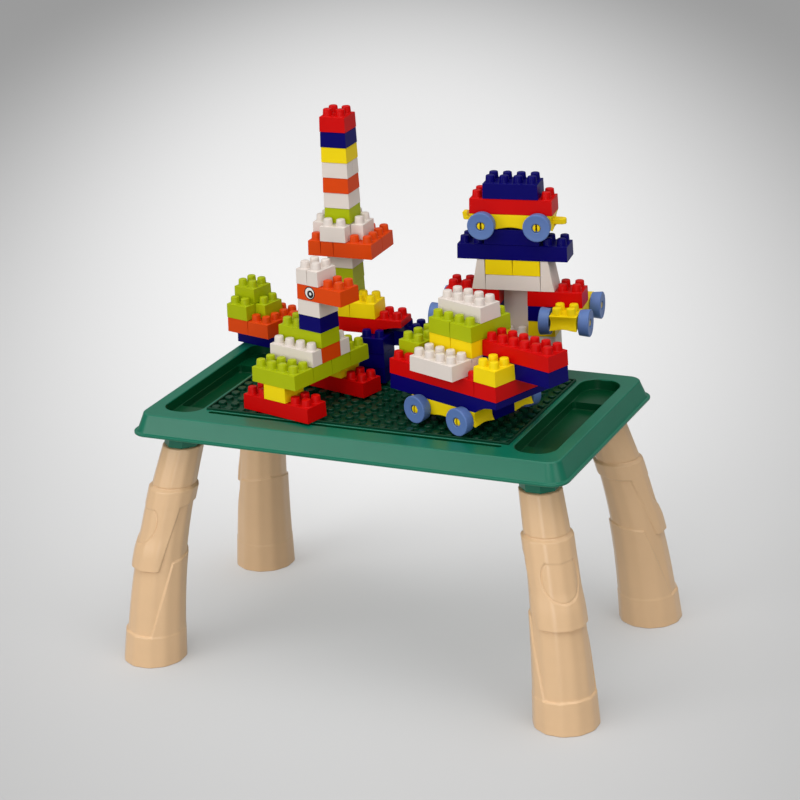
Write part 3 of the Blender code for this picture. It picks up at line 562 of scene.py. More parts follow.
tower = {
    "turn": 1.5,
    "place": (-0.1010, 0.0560, 0.3043),
    "bricks": {
        "tower_foot_right": [("navy", level, 3, -2, 2, 2) for level in (0, 1, 2)],
        "tower_foot_left": [("navy", level, -2, -1, 2, 2) for level in (0, 1, 2)],
        "tower_stern": [("navy", 2, 3, 0, 4, 2)],
        "tower_hull": [("red", 3, -2, -1, 8, 2, {"undercut": 1})],
        "tower_deck": [("yellow", 4, 0, -1, 2, 2), ("yellow", 4, 2, -1, 2, 2)],
        "tower_column": [("lime", 5, 0, 0, 2, 2), ("lime", 6, 0, 0, 2, 2), ("white", 7, 0, 0, 2, 2)],
        "tower_gallery": [
            ("orange", 8, -1, -1, 1, 4),
            ("orange", 8, 0, -1, 1, 4),
            ("orange", 8, 1, -1, 3, 2),
            ("orange", 8, 1, 1, 3, 2),
            ("white", 9, 0, -1, 2, 1),
            ("white", 9, 2, 0, 1, 2),
            ("white", 9, 0, 2, 2, 1),
            ("white", 9, -1, 0, 1, 2),
            ("white", 9, 0, 0, 2, 2),
        ],
        "tower_mast": [(colour, level, 0, 0, 2, 2) for colour, level in mastStripes]
        + [("white", 13, 0, 0, 2, 1), ("white", 13, 0, 1, 2, 1)],
    },
}
tree = {
    "turn": -13.5,
    "place": (-0.2640, 0.1020, 0.3018),
    "bricks": {
        "tree_wall": [
            ("navy", 0, 0, 1, 4, 2),
            ("orange", 1, 0, 0, 2, 2),
            ("orange", 1, 2, 0, 2, 2),
            ("orange", 1, 0, 2, 2, 2),
            ("orange", 1, 2, 2, 4, 2),
        ],
        "tree_crown": [
            ("lime", 2, 0, 0, 2, 2),
            ("lime", 2, 2, 1, 1, 2),
            ("lime", 2, 0, 2, 2, 1),
            ("lime", 3, 0, 1, 2, 2),
        ],
    },
}


def pieceName(node, ending):
    words = node.split("_")
    return words[0] + "".join(word.capitalize() for word in words[1:]) + ending


def figureMatrix(figure):
    return Matrix.Translation(figure["place"]) @ Matrix.Rotation(math.radians(figure["turn"]), 4, "Z")


def cellsUnder(u, v, along, across):
    return {(u + i, v + j) for i in range(along) for j in range(across)}


def buildFigure(name, figure):
    # Bricks show their studs where nothing stands on them, and open undersides where they hang
    floors = set()
    tops = set()
    for bricks in figure["bricks"].values():
        for colour, level, u, v, along, across, *more in bricks:
            levels = more[0].get("levels", 1) if more else 1
            floors |= {(level, cell) for cell in cellsUnder(u, v, along, across)}
            tops |= {(level + levels, cell) for cell in cellsUnder(u, v, along, across)}
    for level, u, v, along, across in figure.get("covered", []):
        floors |= {(level, cell) for cell in cellsUnder(u, v, along, across)}
    for node, bricks in figure["bricks"].items():
        for order, (colour, level, u, v, along, across, *more) in enumerate(bricks):
            extra = more[0] if more else {}
            levels = extra.get("levels", 1)
            cells = cellsUnder(u, v, along, across)
            bareCells = {(i - u, j - v) for i, j in cells if (level + levels, (i, j)) not in floors}
            hollow = any((level, cell) not in tops for cell in cells)
            options = {"undercut": extra.get("undercut"), "lean": extra.get("lean", 0)}
            bm = brickMesh(along, across, levels, bareCells, colour, hollow, **options)
            piece = newObject(pieceName(node, f"Brick{order + 1}"), bm, colour)
            corner = Matrix.Translation((u * pitch, v * pitch, level * brickShape["height"]))
            piece.data.transform(figureMatrix(figure) @ corner)
            shadeRound(piece)
            finishPiece(piece, name, colour, node)


figures = {"duck": duck, "truck": truck, "robot": robot, "tower": tower, "tree": tree}
for figureName, figure in figures.items():
    buildFigure(figureName, figure)
    print("stage: bricks of the", figureName)

# Wheels turned from one section, and the chassis they snap onto

wheelShape = {
    "radius": 0.0157,
    "width": 0.0120,
    "bore": 0.0039,
    "hubHole": 0.0053,
    "hubDepth": 0.0030,
    "edge": 0.0011,
    "dish": 0.0003,
    "faceFromEdge": 2.2,  # where the tyre ends and the face begins, in edges
    "sides": 56,
    "sideGap": 0.0008,
}
chassisShape = {
    "studs": 6,
    "axleHeight": 0.0065,
    "axleFromEnd": 0.016,
    "arch": 0.0028,  # how far the underside rises between the axles
    "endArch": 0.0020,  # and between each axle and its end
    "endArchFrom": 0.0052,
    "endArchWidth": 0.0030,
    "archShare": 0.75,  # of the way from the middle to an axle
    "flare": 0.0140,
    "sideWaist": 0.0015,
    "endDip": 0.0022,
    "endRise": 0.0022,
    "edge": 0.0006,
    "pinWidth": 0.0068,
    "pinHead": 0.0090,
    "pinHeadLength": 0.0016,
    "pinSlot": 0.0024,
    "pinRoot": 0.0012,  # how deep the pin starts inside the chassis
    "pinGaps": 1.5,  # side gaps that its head stands out past the hub
    "pinBarb": (0.45, 0.0001),  # share of the head's length, and how far inside the head
    "pinNeck": (0.85, 0.0003),  # and how far outside the shaft
    "pinTip": 0.0004,
    "pinSteps": 9,
    "tongueLength": 0.0125,
    "tongueThickness": 0.0065,
    "tongueTop": 0.66,  # share of a brick's height
    "tongueSteps": 14,
    "hookLength": 0.0110,
    "hookBase": 0.40,
    "hookBend": 0.0034,
    "hookBendAt": 0.0032,
    "hookTop": 1.4,  # in thicknesses of the tongue
    "hookShoulder": (1.35, 1.3),  # on the inner and the outer side
    "hookChamfer": 0.0006,
    "hookHeel": (0.0010, 0.0012, 0.0022),  # in from the end, up from the base, in at the base
    "hookEnd": 0.90,  # size of the outline at both sides
    "couplingWidth": 0.0100,
    "grid": (64, 16, 8),
    "sharpFrom": 50,  # degrees
    "studRoot": 0.001,
    "studSides": 20,
}


def roundedCorner(centre, radius, start, steps=4):
    angles = [math.radians(start + 90 * step / steps) for step in range(steps + 1)]
    return [onCircle(centre, radius, angle, 0)[:2] for angle in angles]


def wheelSection():
    # Radius and place along the axle, the outer face towards minus
    shape = wheelShape
    half = shape["width"] / 2
    edge = shape["edge"]
    lip = edge / 2
    face = -half + shape["dish"]
    tread = shape["radius"] - edge
    hub = -half + shape["hubDepth"]
    section = [(shape["bore"], half - lip), (shape["bore"] + lip, half)]
    section += roundedCorner((tread, half - edge), edge, 90)[::-1]
    section += roundedCorner((tread, edge - half), edge, -90)[::-1]
    section += [(shape["radius"] - shape["faceFromEdge"] * edge, face)]
    section += [(shape["hubHole"] + lip, face), (shape["hubHole"], face + lip)]
    section += [(shape["hubHole"], hub), (shape["bore"], hub)]
    return section


def wheelMesh():
    bm = bmesh.new()
    section = wheelSection()
    rings = []
    for step in range(wheelShape["sides"]):
        angle = 2 * math.pi * step / wheelShape["sides"]
        rings.append([(r * math.cos(angle), y, r * math.sin(angle)) for r, y in section])
    loops = loft(bm, rings, capped=False)
    closeBetween(bm, loops[-1], loops[0])
    return bm


def gridBox(bm, size, counts):
    # The surface of a box as a grid of quads, to be shaped point by point
    found = {}

    def vertAt(key):
        if key not in found:
            found[key] = bm.verts.new([size[axis] * key[axis] / counts[axis] for axis in range(3)])
        return found[key]

    for axis in range(3):
        first, second = [other for other in range(3) if other != axis]
        for side in (0, counts[axis]):
            for i in range(counts[first]):
                for j in range(counts[second]):
                    keys = []
                    for di, dj in ((0, 0), (1, 0), (1, 1), (0, 1)):
                        key = [0, 0, 0]
                        key[axis] = side
                        key[first] = i + di
                        key[second] = j + dj
                        keys.append(tuple(key))
                    bm.faces.new([vertAt(key) for key in keys])
    return list(found.values())


def shapeChassis(verts, length, width, height):
    # Arched below, waisted at the sides and drawn in like a fishtail at both ends
    shape = chassisShape
    middle = length / 2
    axle = middle - shape["axleFromEnd"]
    for vert in verts:
        x, y, z = vert.co
        share = z / height
        fromMiddle = abs(x - middle)
        fromEnd = middle - fromMiddle
        nearEnd = max(0.0, 1 - fromEnd / shape["flare"]) ** 2
        across = (y - width / 2) / (width / 2)
        rise = 0.0
        arched = axle * shape["archShare"]
        if fromMiddle < arched:
            rise = shape["arch"] * (1 + math.cos(math.pi * fromMiddle / arched)) / 2
        bump = (fromEnd - shape["endArchFrom"]) / shape["endArchWidth"]
        rise += shape["endArch"] * math.exp(-bump * bump)
        rise += shape["endRise"] * nearEnd * math.cos(math.pi / 2 * across) ** 2
        bow = math.sin(math.pi * share)
        vert.co.z = z + rise * (1 - share)
        vert.co.y = y - across * abs(across) * shape["sideWaist"] * bow * nearEnd
        outward = 1 if x > middle else -1
        vert.co.x = x - outward * shape["endDip"] * bow * nearEnd ** 2


def addPin(bm, x, sign, side):
    # Two half-round prongs with barbs, split so that they can spring through the wheel
    shape = chassisShape
    reach = wheelShape["sideGap"] * shape["pinGaps"] + wheelShape["width"] - wheelShape["hubDepth"]
    shaft = shape["pinWidth"] / 2
    head = shape["pinHead"] / 2
    headLength = shape["pinHeadLength"]
    barbAt, barbInset = shape["pinBarb"]
    neckAt, neckProud = shape["pinNeck"]
    stations = (
        (-shape["pinRoot"], shaft),
        (reach, shaft),
        (reach, head),
        (reach + headLength * barbAt, head - barbInset),
        (reach + headLength * neckAt, shaft + neckProud),
        (reach + headLength, shaft - shape["pinTip"]),
    )
    half = shape["pinSlot"] / 2
    steps = shape["pinSteps"]
    for prong in (-1, 1):
        rings = []
        for out, radius in stations:
            limit = math.acos(half / radius)
            ring = []
            for step in range(steps + 1):
                angle = -limit + 2 * limit * step / steps
                depth = prong * radius * math.cos(angle)
                ring.append((x + depth, side + sign * out, shape["axleHeight"] + radius * math.sin(angle)))
            rings.append(ring)
        loft(bm, rings)


def addTongue(bm, length, inside):
    # A flat tongue with a round end
    shape = chassisShape
    wide = shape["couplingWidth"] / 2
    tip = length + shape["tongueLength"] - wide
    steps = shape["tongueSteps"]
    tongue = [(length - inside, pitch - wide)]
    for step in range(steps + 1):
        angle = -math.pi / 2 + math.pi * step / steps
        tongue.append(onCircle((tip, pitch), wide, angle, 0)[:2])
    tongue.append((length - inside, pitch + wide))
    top = brickShape["height"] * shape["tongueTop"]
    foot = top - shape["tongueThickness"]
    edge = shape["edge"]
    rings = []
    for level, spread in ((foot, -edge), (foot + edge, 0), (top - edge, 0), (top, -edge)):
        ring = []
        for x, y in tongue:
            ring.append((x + spread * (x > length), pitch + (y - pitch) * (1 + spread / wide), level))
        rings.append(ring)
    loft(bm, rings)


def addHook(bm, inside):
    # A hook that turns up, drawn from the side
    shape = chassisShape
    wide = shape["couplingWidth"] / 2
    base = brickShape["height"] * shape["hookBase"]
    thick = shape["tongueThickness"]
    reach = shape["hookLength"]
    bend = shape["hookBend"]
    soft = shape["hookChamfer"]
    top = base + thick * shape["hookTop"]
    inner, outer = shape["hookShoulder"]
    heelIn, heelUp, heelOut = shape["hookHeel"]
    hook = [(inside, base), (inside, base + thick / 2)]
    hook += roundedCorner((-reach / 2 + shape["hookBendAt"], base + thick / 2 + bend), bend, 180, 5)[::-1]
    hook += [(-reach / 2, base + thick * inner), (-reach / 2 - soft, top)]
    hook += [(-reach + soft, top), (-reach, base + thick * outer)]
    hook += [(-reach + heelIn, base + heelUp), (-reach + heelOut, base)]
    centreX = sum(point[0] for point in hook) / len(hook)
    centreZ = sum(point[1] for point in hook) / len(hook)
    edge = shape["edge"]
    small = shape["hookEnd"]
    rings = []
    for y, size in ((-wide, small), (-wide + edge, 1.0), (wide - edge, 1.0), (wide, small)):
        ring = []
        for x, z in hook:
            ring.append((centreX + (x - centreX) * size, pitch + y, centreZ + (z - centreZ) * size))
        rings.append(ring)
    loft(bm, rings)


def addCoupling(bm, length):
    inside = chassisShape["endDip"] + brickShape["wall"] * 2
    addTongue(bm, length, inside)
    addHook(bm, inside)


def chassisMesh(pins, studded, coupled):
    shape = chassisShape
    length = shape["studs"] * pitch
    width = 2 * pitch
    gap = brickShape["gap"]
    height = brickShape["height"] - gap
    bm = bmesh.new()
    size = (length - gap, width - gap, height)
    verts = gridBox(bm, size, shape["grid"])
    shapeChassis(verts, *size)
    bmesh.ops.translate(bm, vec=(gap / 2, gap / 2, 0), verts=verts)
    sharp = math.radians(shape["sharpFrom"])
    edges = [edge for edge in bm.edges if edge.calc_face_angle(0) > sharp]
    bmesh.ops.recalc_face_normals(bm, faces=bm.faces)
    bmesh.ops.bevel(bm, geom=edges, offset=shape["edge"], segments=2, profile=0.5, affect="EDGES")
    for side in pins:
        for x in (shape["axleFromEnd"], length - shape["axleFromEnd"]):
            addPin(bm, x, -1 if side == "near" else 1, 0.0 if side == "near" else width)
    if coupled:
        addCoupling(bm, length)
    for i, j in studded:
        centre = (pitch * (i + 0.5), pitch * (j + 0.5))
        radius = brickStud["topWidth"] / 2
        edge = brickStud["edge"]
        stations = [(brickStud["width"] / 2, -shape["studRoot"])]
        for step in range(brickStud["edgeSteps"] + 1):
            turn = math.pi / 2 * step / brickStud["edgeSteps"]
            high = brickStud["height"] - edge + edge * math.sin(turn)
            stations.append((radius - edge + edge * math.cos(turn), high))
        loft(bm, [polygonRing(shape["studSides"], r, centre, height + z) for r, z in stations])
    return bm


def buildChassis(body, node, figure, place, pins, wheels, studded=(), turned=False, coupled=False):
    # place is the corner cell and level; wheels gives the CAD name and the sides that carry wheels
    u, v, level = place
    corner = Matrix.Translation((u * pitch, v * pitch, level * brickShape["height"]))
    matrix = figureMatrix(figure) @ corner
    if turned:
        matrix = matrix @ Matrix.Translation((2 * pitch, 0, 0)) @ Matrix.Rotation(math.pi / 2, 4, "Z")
    piece = newObject(pieceName(node, "Base"), chassisMesh(pins, studded, coupled), "yellow")
    piece.data.transform(matrix)
    shadeRound(piece)
    finishPiece(piece, body, "yellow", node)
    length = chassisShape["studs"] * pitch
    offset = wheelShape["sideGap"] + wheelShape["width"] / 2
    wheelNode, sides = wheels
    for side in sides:
        y = -offset if side == "near" else 2 * pitch + offset
        turn = 0 if side == "near" else math.pi
        for x, end in ((chassisShape["axleFromEnd"], "a"), (length - chassisShape["axleFromEnd"], "b")):
            named = f"{wheelNode}_{side}_{end}"
            wheel = newObject(pieceName(named, "Tyre"), wheelMesh(), "blue")
            spot = Matrix.Translation((x, y, chassisShape["axleHeight"])) @ Matrix.Rotation(turn, 4, "Z")
            wheel.data.transform(matrix @ spot)
            shadeRound(wheel, 40)
            finishPiece(wheel, named, "blue", named)


both = ("near", "far")
for end, v, side in (("front", 0, "near"), ("rear", 4, "far")):
    carried = (f"truck_wheel_{end}", (side,))
    buildChassis("truck", f"truck_chassis_{end}", truck, (2, v, 0), (side,), carried)
head = ("robot_eye_wheel", ("near",))
buildChassis("robot", "robot_head", robot, (2, 0, 8), both, head, coupled=True)
frontStuds = [(i, j) for i in (0, 1) for j in (0, 1)]
for side, u in (("left", 0), ("right", 8)):
    arm = (f"robot_wheel_{side}", both)
    node = f"robot_arm_chassis_{side}"
    buildChassis("robot", node, robot, (u, -2, 2), both, arm, studded=frontStuds, turned=True)
print("stage: chassis and wheels")

# The bird's eye, printed in flat rings on the side of its head

eye = {
    "along": 3.18,  # cells from the figure's corner
    "height": 0.0092,
    # each ring is its colour, radius, and shift along and up
    "rings": (("eyeBlack", 0.0075, 0, 0), ("eyeWhite", 0.0063, 0, 0), ("eyeBlack", 0.0045, 0.0010, -0.0010)),
    "glint": ("eyeWhite", 0.0017, 0.0010, -0.0006),
    "layer": 0.00007,
    "shoulder": 0.7,  # share of a layer where its edge starts to lean in
    "sunk": 0.00003,  # how far the print starts inside the wall
    "sides": 40,
}


def eyeMesh():
    bm = bmesh.new()
    layer = eye["layer"]
    for order, (colour, radius, shiftX, shiftZ) in enumerate((*eye["rings"], eye["glint"])):
        out = layer * (order + 1)
        rings = []
        for depth, size in ((0.0, radius), (out * eye["shoulder"], radius), (out, radius - layer * 2)):
            ring = []
            for step in range(eye["sides"]):
                x, z = onCircle((shiftX, shiftZ), size, 2 * math.pi * step / eye["sides"], 0)[:2]
                ring.append((x, -depth, z))
            rings.append(ring)
        before = len(bm.faces)
        loft(bm, rings)
        bm.faces.ensure_lookup_table()
        for face in bm.faces[before:]:
            face.material_index = 0 if colour == "eyeBlack" else 1
    return bm


def buildEye():
    head = duck["bricks"]["duck_head"][0]
    level, v = head[1], head[3]
    share = eye["height"] / brickShape["height"]
    inset = brickShape["gap"] / 2 + brickShape["draft"] * share - eye["sunk"]
    tilt = -math.atan(brickShape["draft"] / brickShape["height"])
    spot = (eye["along"] * pitch, v * pitch + inset, level * brickShape["height"] + eye["height"])
    piece = newObject("duckEyePrint", eyeMesh(), "eyeBlack")
    piece.data.materials.append(plastics["eyeWhite"])
    piece.data.transform(figureMatrix(duck) @ Matrix.Translation(spot) @ Matrix.Rotation(tilt, 4, "X"))
    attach(piece, "duck")


buildEye()

# The stud plate: the same studded top, inside a thin raised border

plate = {
    "studsLong": 23,
    "studsDeep": 13,
    "border": 0.0020,
    "top": 0.3040,
    "field": 0.3000,
    "bottom": 0.2975,
    "edge": 0.0005,
}


def buildPlate():
    long, deep = plate["studsLong"], plate["studsDeep"]
    size = (long * pitch, deep * pitch)
    every = cellsUnder(0, 0, long, deep)
    bm, rim, outer = openTop(long, deep, every, plate["border"], plateTile, "plate", plate["field"])
    edge = plate["edge"]
    stations = (
        (plate["border"], plate["top"] - edge),
        (plate["border"] - edge, plate["top"]),
        (edge, plate["top"]),
        (0.0, plate["top"] - edge),
        (0.0, plate["bottom"]),
    )
    lower = rim
    for inset, height in stations:
        ring = rimRing(bm, outer, size, inset, height)
        closeBetween(bm, lower, ring)
        lower = ring
    bm.faces.new(lower)
    bmesh.ops.translate(bm, vec=(-size[0] / 2, -size[1] / 2, 0), verts=bm.verts)
    piece = newObject("studField", bm, "plate")
    shadeRound(piece)
    finishPiece(piece, "table", "plate", "stud_plate")


buildPlate()
print("stage: stud plate")

# The moulded tabletop: skirt with a flange, deck, two bins, plate pocket, groove, ribs and bosses

table = {
    "length": 0.526,
    "depth": 0.298,
    "cornerRadius": 0.020,
    "rimTop": 0.3015,
    "skirtHeight": 0.0238,
    "flange": 0.0030,
    "flangeReach": 0.0035,
    "flangeEdge": 0.0005,
    "flangeRoot": ((0.0010, 0.0003), (0, 0.0013)),  # from the skirt, and above the flange
    "lean": 0.0062,
    "rimRounding": 0.0025,
    "wall": 0.0025,
    "fitGap": 0.0003,
    "pocketFloor": 0.0022,
    "binInner": 0.1900,
    "binOuter": 0.2375,
    "binHalfDepth": 0.1180,
    "binRadius": 0.0200,
    "binFloor": 0.0022,
    "binLip": 0.0016,
    "ledgeHeight": 0.0090,
    "ledgeLength": 0.0450,
    "wellRadius": 0.0060,
    "ledgeEdge": ((-0.0004, 0.0012), (-0.0008, 0.0004), (-0.0016, 0.0)),  # growth and height
    "wellTop": 0.0030,
    "wellEdge": ((-0.0012, 0.0012), (-0.0018, 0.0003), (-0.0028, 0.0)),
    "grooveHalf": 0.1780,
    "grooveWidth": 0.0070,
    "grooveDepth": 0.0045,
    "grooveFromPlate": 0.0016,
    "grooveLip": 0.0008,
    "ribCount": 3,
    "ribThickness": 0.0020,
    "ribHeight": 0.0090,
    "bossRadius": 0.0225,
    "spigotRadius": 0.0180,
    "spigotLength": 0.0240,
    "bossSides": 8,
    "bossEdge": 0.0008,
}
legShape = {
    "top": 0.2570,
    "topX": 0.2184,
    "topY": 0.1024,
    "footX": 0.2567,
    "footY": 0.1418,
    "topRadius": 0.0238,
    "footRadius": 0.0369,
    "bend": 0.0095,  # how far the knee stands out of the straight line from top to foot
    "socket": 0.0183,
    "rows": 290,
    "columns": 240,
    "soft": 0.0008,  # how wide the moulded edges are
    "endRounding": 0.0012,
    "endSteps": 3,
    "endShare": 1.2,  # roundings kept free of the leg's own rows
    "socketRoom": 0.0006,  # below the spigot
}


def legCentre(height, sideX, sideY):
    share = 1 - height / legShape["top"]
    x = legShape["topX"] + (legShape["footX"] - legShape["topX"]) * share
    y = legShape["topY"] + (legShape["footY"] - legShape["topY"]) * share
    return sideX * x, sideY * y


def tableOutline(inset, height):
    halfX = table["length"] / 2 - inset
    halfY = table["depth"] / 2 - inset
    return roundOutline(-halfX, halfX, -halfY, halfY, table["cornerRadius"] - inset / 2, height)


def binOutline(side, growth, height, halfDepth, radius=table["binRadius"]):
    near = side * (table["binInner"] - growth)
    far = side * (table["binOuter"] + growth)
    low, high = min(near, far), max(near, far)
    end = halfDepth + growth
    return roundOutline(low, high, -halfDepth - growth, end, radius + growth, height)


def lipStations(radius, top, above):
    # Growth and height down a rounded lip, from above the deck in to the opening's own size
    stations = [(radius, above), (radius, top)]
    steps = 5
    for step in range(1, steps + 1):
        angle = math.pi / 2 * step / steps
        stations.append((radius - radius * math.sin(angle), top - radius + radius * math.cos(angle)))
    return stations


def boxRings(xLow, xHigh, yLow, yHigh, zLow, zHigh):
    ring = ((xLow, yLow), (xHigh, yLow), (xHigh, yHigh), (xLow, yHigh))
    return [[(x, y, z) for x, y in ring] for z in (zLow, zHigh)]


def solidOf(rings):
    bm = bmesh.new()
    loft(bm, rings)
    return bm


def skirtStations():
    # Inset and height up the outside, from the flange's foot to the deck
    foot = table["rimTop"] - table["skirtHeight"]
    flange = table["flange"]
    soft = table["flangeEdge"]
    inset = table["flangeReach"]
    full = inset + table["lean"]
    stations = [(soft, foot), (0, foot + soft), (0, foot + flange - soft), (soft, foot + flange)]
    stations += [(inset - out, foot + flange + rise) for out, rise in table["flangeRoot"]]
    rounding = table["rimRounding"]
    steps = 6
    for step in range(steps + 1):
        angle = math.pi / 2 * step / steps
        out = full + rounding * (1 - math.cos(angle))
        stations.append((out, table["rimTop"] - rounding + rounding * math.sin(angle)))
    return stations


def buildTabletop():
    rimTop = table["rimTop"]
    wall = table["wall"]
    skirtFoot = rimTop - table["skirtHeight"]
    piece = newObject("mouldedTop", solidOf([tableOutline(*station) for station in skirtStations()]), "green")
    cavity = table["flangeReach"] + table["lean"] + wall
    hollow = [tableOutline(cavity, height) for height in (skirtFoot - wall, rimTop - wall)]
    combine(piece, solidOf(hollow), "DIFFERENCE")
    plateX = plate["studsLong"] * pitch / 2
    plateY = plate["studsDeep"] * pitch / 2
    trayX = plateX + wall
    trayY = plateY + table["grooveWidth"] + table["grooveFromPlate"] + wall
    trayFoot = plate["bottom"] - table["fitGap"] - table["pocketFloor"]
    inside = rimTop - wall / 2
    combine(piece, solidOf(boxRings(-trayX, trayX, -trayY, trayY, trayFoot, inside)), "UNION")
    for side in (-1, 1):
        tub = [binOutline(side, wall, height, table["binHalfDepth"]) for height in (skirtFoot, inside)]
        combine(piece, solidOf(tub), "UNION")
    innerY = table["depth"] / 2 - cavity + wall / 2
    for index in range(table["ribCount"]):
        x = (index - (table["ribCount"] - 1) / 2) * plateX * 2 / table["ribCount"]
        half = table["ribThickness"] / 2
        rib = boxRings(x - half, x + half, -innerY, innerY, rimTop - wall - table["ribHeight"], inside)
        combine(piece, solidOf(rib), "UNION")
    for sideX in (-1, 1):
        for sideY in (-1, 1):
            combine(piece, solidOf(bossRings(sideX, sideY, skirtFoot)), "UNION")

    # What is open from above: the bins and the groove each with a rounded lip, and the square plate pocket
    above = rimTop + wall
    floor = skirtFoot + table["binFloor"]
    ledge = floor + table["ledgeHeight"]
    wellDepth = table["binHalfDepth"] - table["ledgeLength"]
    long = table["binHalfDepth"]
    square = table["wellRadius"]
    for side in (-1, 1):
        lip = lipStations(table["binLip"], rimTop, above)
        trough = [(growth, height, long) for growth, height in lip]
        trough += [(growth, ledge + rise, long) for growth, rise in table["ledgeEdge"]]
        combine(piece, solidOf([binOutline(side, *station) for station in trough[::-1]]), "DIFFERENCE")
        well = [(table["wellEdge"][0][0], ledge + table["wellTop"], wellDepth, square)]
        well += [(growth, floor + rise, wellDepth, square) for growth, rise in table["wellEdge"]]
        combine(piece, solidOf([binOutline(side, *station) for station in well[::-1]]), "DIFFERENCE")
    pocketX = plateX + table["fitGap"]
    pocketY = plateY + table["fitGap"]
    pocketFoot = plate["bottom"] - table["fitGap"]
    combine(piece, solidOf(boxRings(-pocketX, pocketX, -pocketY, pocketY, pocketFoot, above)), "DIFFERENCE")
    back = -plateY - table["grooveFromPlate"]
    groove = []
    lip = lipStations(table["grooveLip"], rimTop, above)
    for growth, height in lip + [(0.0, rimTop - table["grooveDepth"])]:
        halfX = table["grooveHalf"] + growth
        low = back - table["grooveWidth"] - growth
        radius = table["grooveWidth"] / 2 - table["fitGap"] + growth
        groove.append(roundOutline(-halfX, halfX, low, back + growth, radius, height))
    combine(piece, solidOf(groove[::-1]), "DIFFERENCE")

    # What lies below the deck's edge inside the openings is darker: painted shade, given by the deep finish
    piece.data.materials.clear()
    for colour in ("green", "deep"):
        piece.data.materials.append(plastics[colour])
    deckEdge = rimTop - table["binLip"] / 2
    for face in piece.data.polygons:
        x, y, z = face.center
        inOutline = abs(x) < table["binOuter"] and abs(y) < table["binHalfDepth"]
        # sunk marks the faces that get the painted shade
        sunk = inOutline and skirtFoot + table["binFloor"] / 2 < z < deckEdge
        face.material_index = 1 if sunk else 0
    shadeRound(piece, 30)
    evenNormals(piece)
    finishPiece(piece, "table", "green", "tabletop")


def bossRings(sideX, sideY, skirtFoot):
    shoulder = legShape["top"] + table["fitGap"]
    radius = table["bossRadius"]
    spigot = table["spigotRadius"]
    stations = (
        (skirtFoot + table["ledgeHeight"] / 2, radius + table["flange"] / 2),
        (skirtFoot - table["flange"], radius),
        (shoulder + table["bossEdge"], radius),
        (shoulder, radius - table["bossEdge"]),
        (shoulder, spigot),
        (legShape["top"] - table["spigotLength"], spigot - table["fitGap"]),
    )
    sides = table["bossSides"]
    return [polygonRing(sides, r, legCentre(height, sideX, sideY), height) for height, r in stations]


buildTabletop()
print("stage: tabletop")

# The legs: one stepped moulding with a knee plate, a calf plate and a foot ring


def ease(value):
    # A soft step from 0 to 1 as the value goes from -1 to 1
    share = min(1.0, max(0.0, (value + 1) / 2))
    return share * share * (3 - 2 * share)


legPlates = {
    "sleeveStart": 0.185,  # starts, ends and tilts are shares of the way down
    "sleeveEnd": 0.275,
    "sleeveTilt": 0.012,  # how much lower the sleeve ends on the outer side
    "sleeveProud": 0.0030,
    "lineWidth": 0.0014,  # the fine line round a plate
    "lineDepth": 0.0011,
    "waist": 0.390,
    "bulge": 0.490,
    "kneeEnd": 0.548,
    "kneeWideTop": 96.0,  # degrees from the outward side
    "kneeWideEnd": 70.0,
    "plateStep": 0.0021,
    "kneeProud": 0.0042,
    "ovalAt": 0.338,
    "ovalHalfHeight": 0.098,
    "ovalHalfWidth": 48.0,  # degrees
    "ovalDepth": 0.0007,
    "calfStart": 0.490,
    "calfTilt": 0.030,
    "calfWideTop": 102.0,
    "calfWideEnd": 64.0,
    "calfProud": 0.0020,
    "footRing": 0.852,
    "ringTilt": 0.010,
    "ringProud": 0.0025,
    "facets": 0.010,  # share of the radius
    "facetCount": 12,
}


def between(low, high, share):
    # How far a share has come from low to high, held to 0 and 1
    return min(1.0, max(0.0, (share - low) / (high - low)))


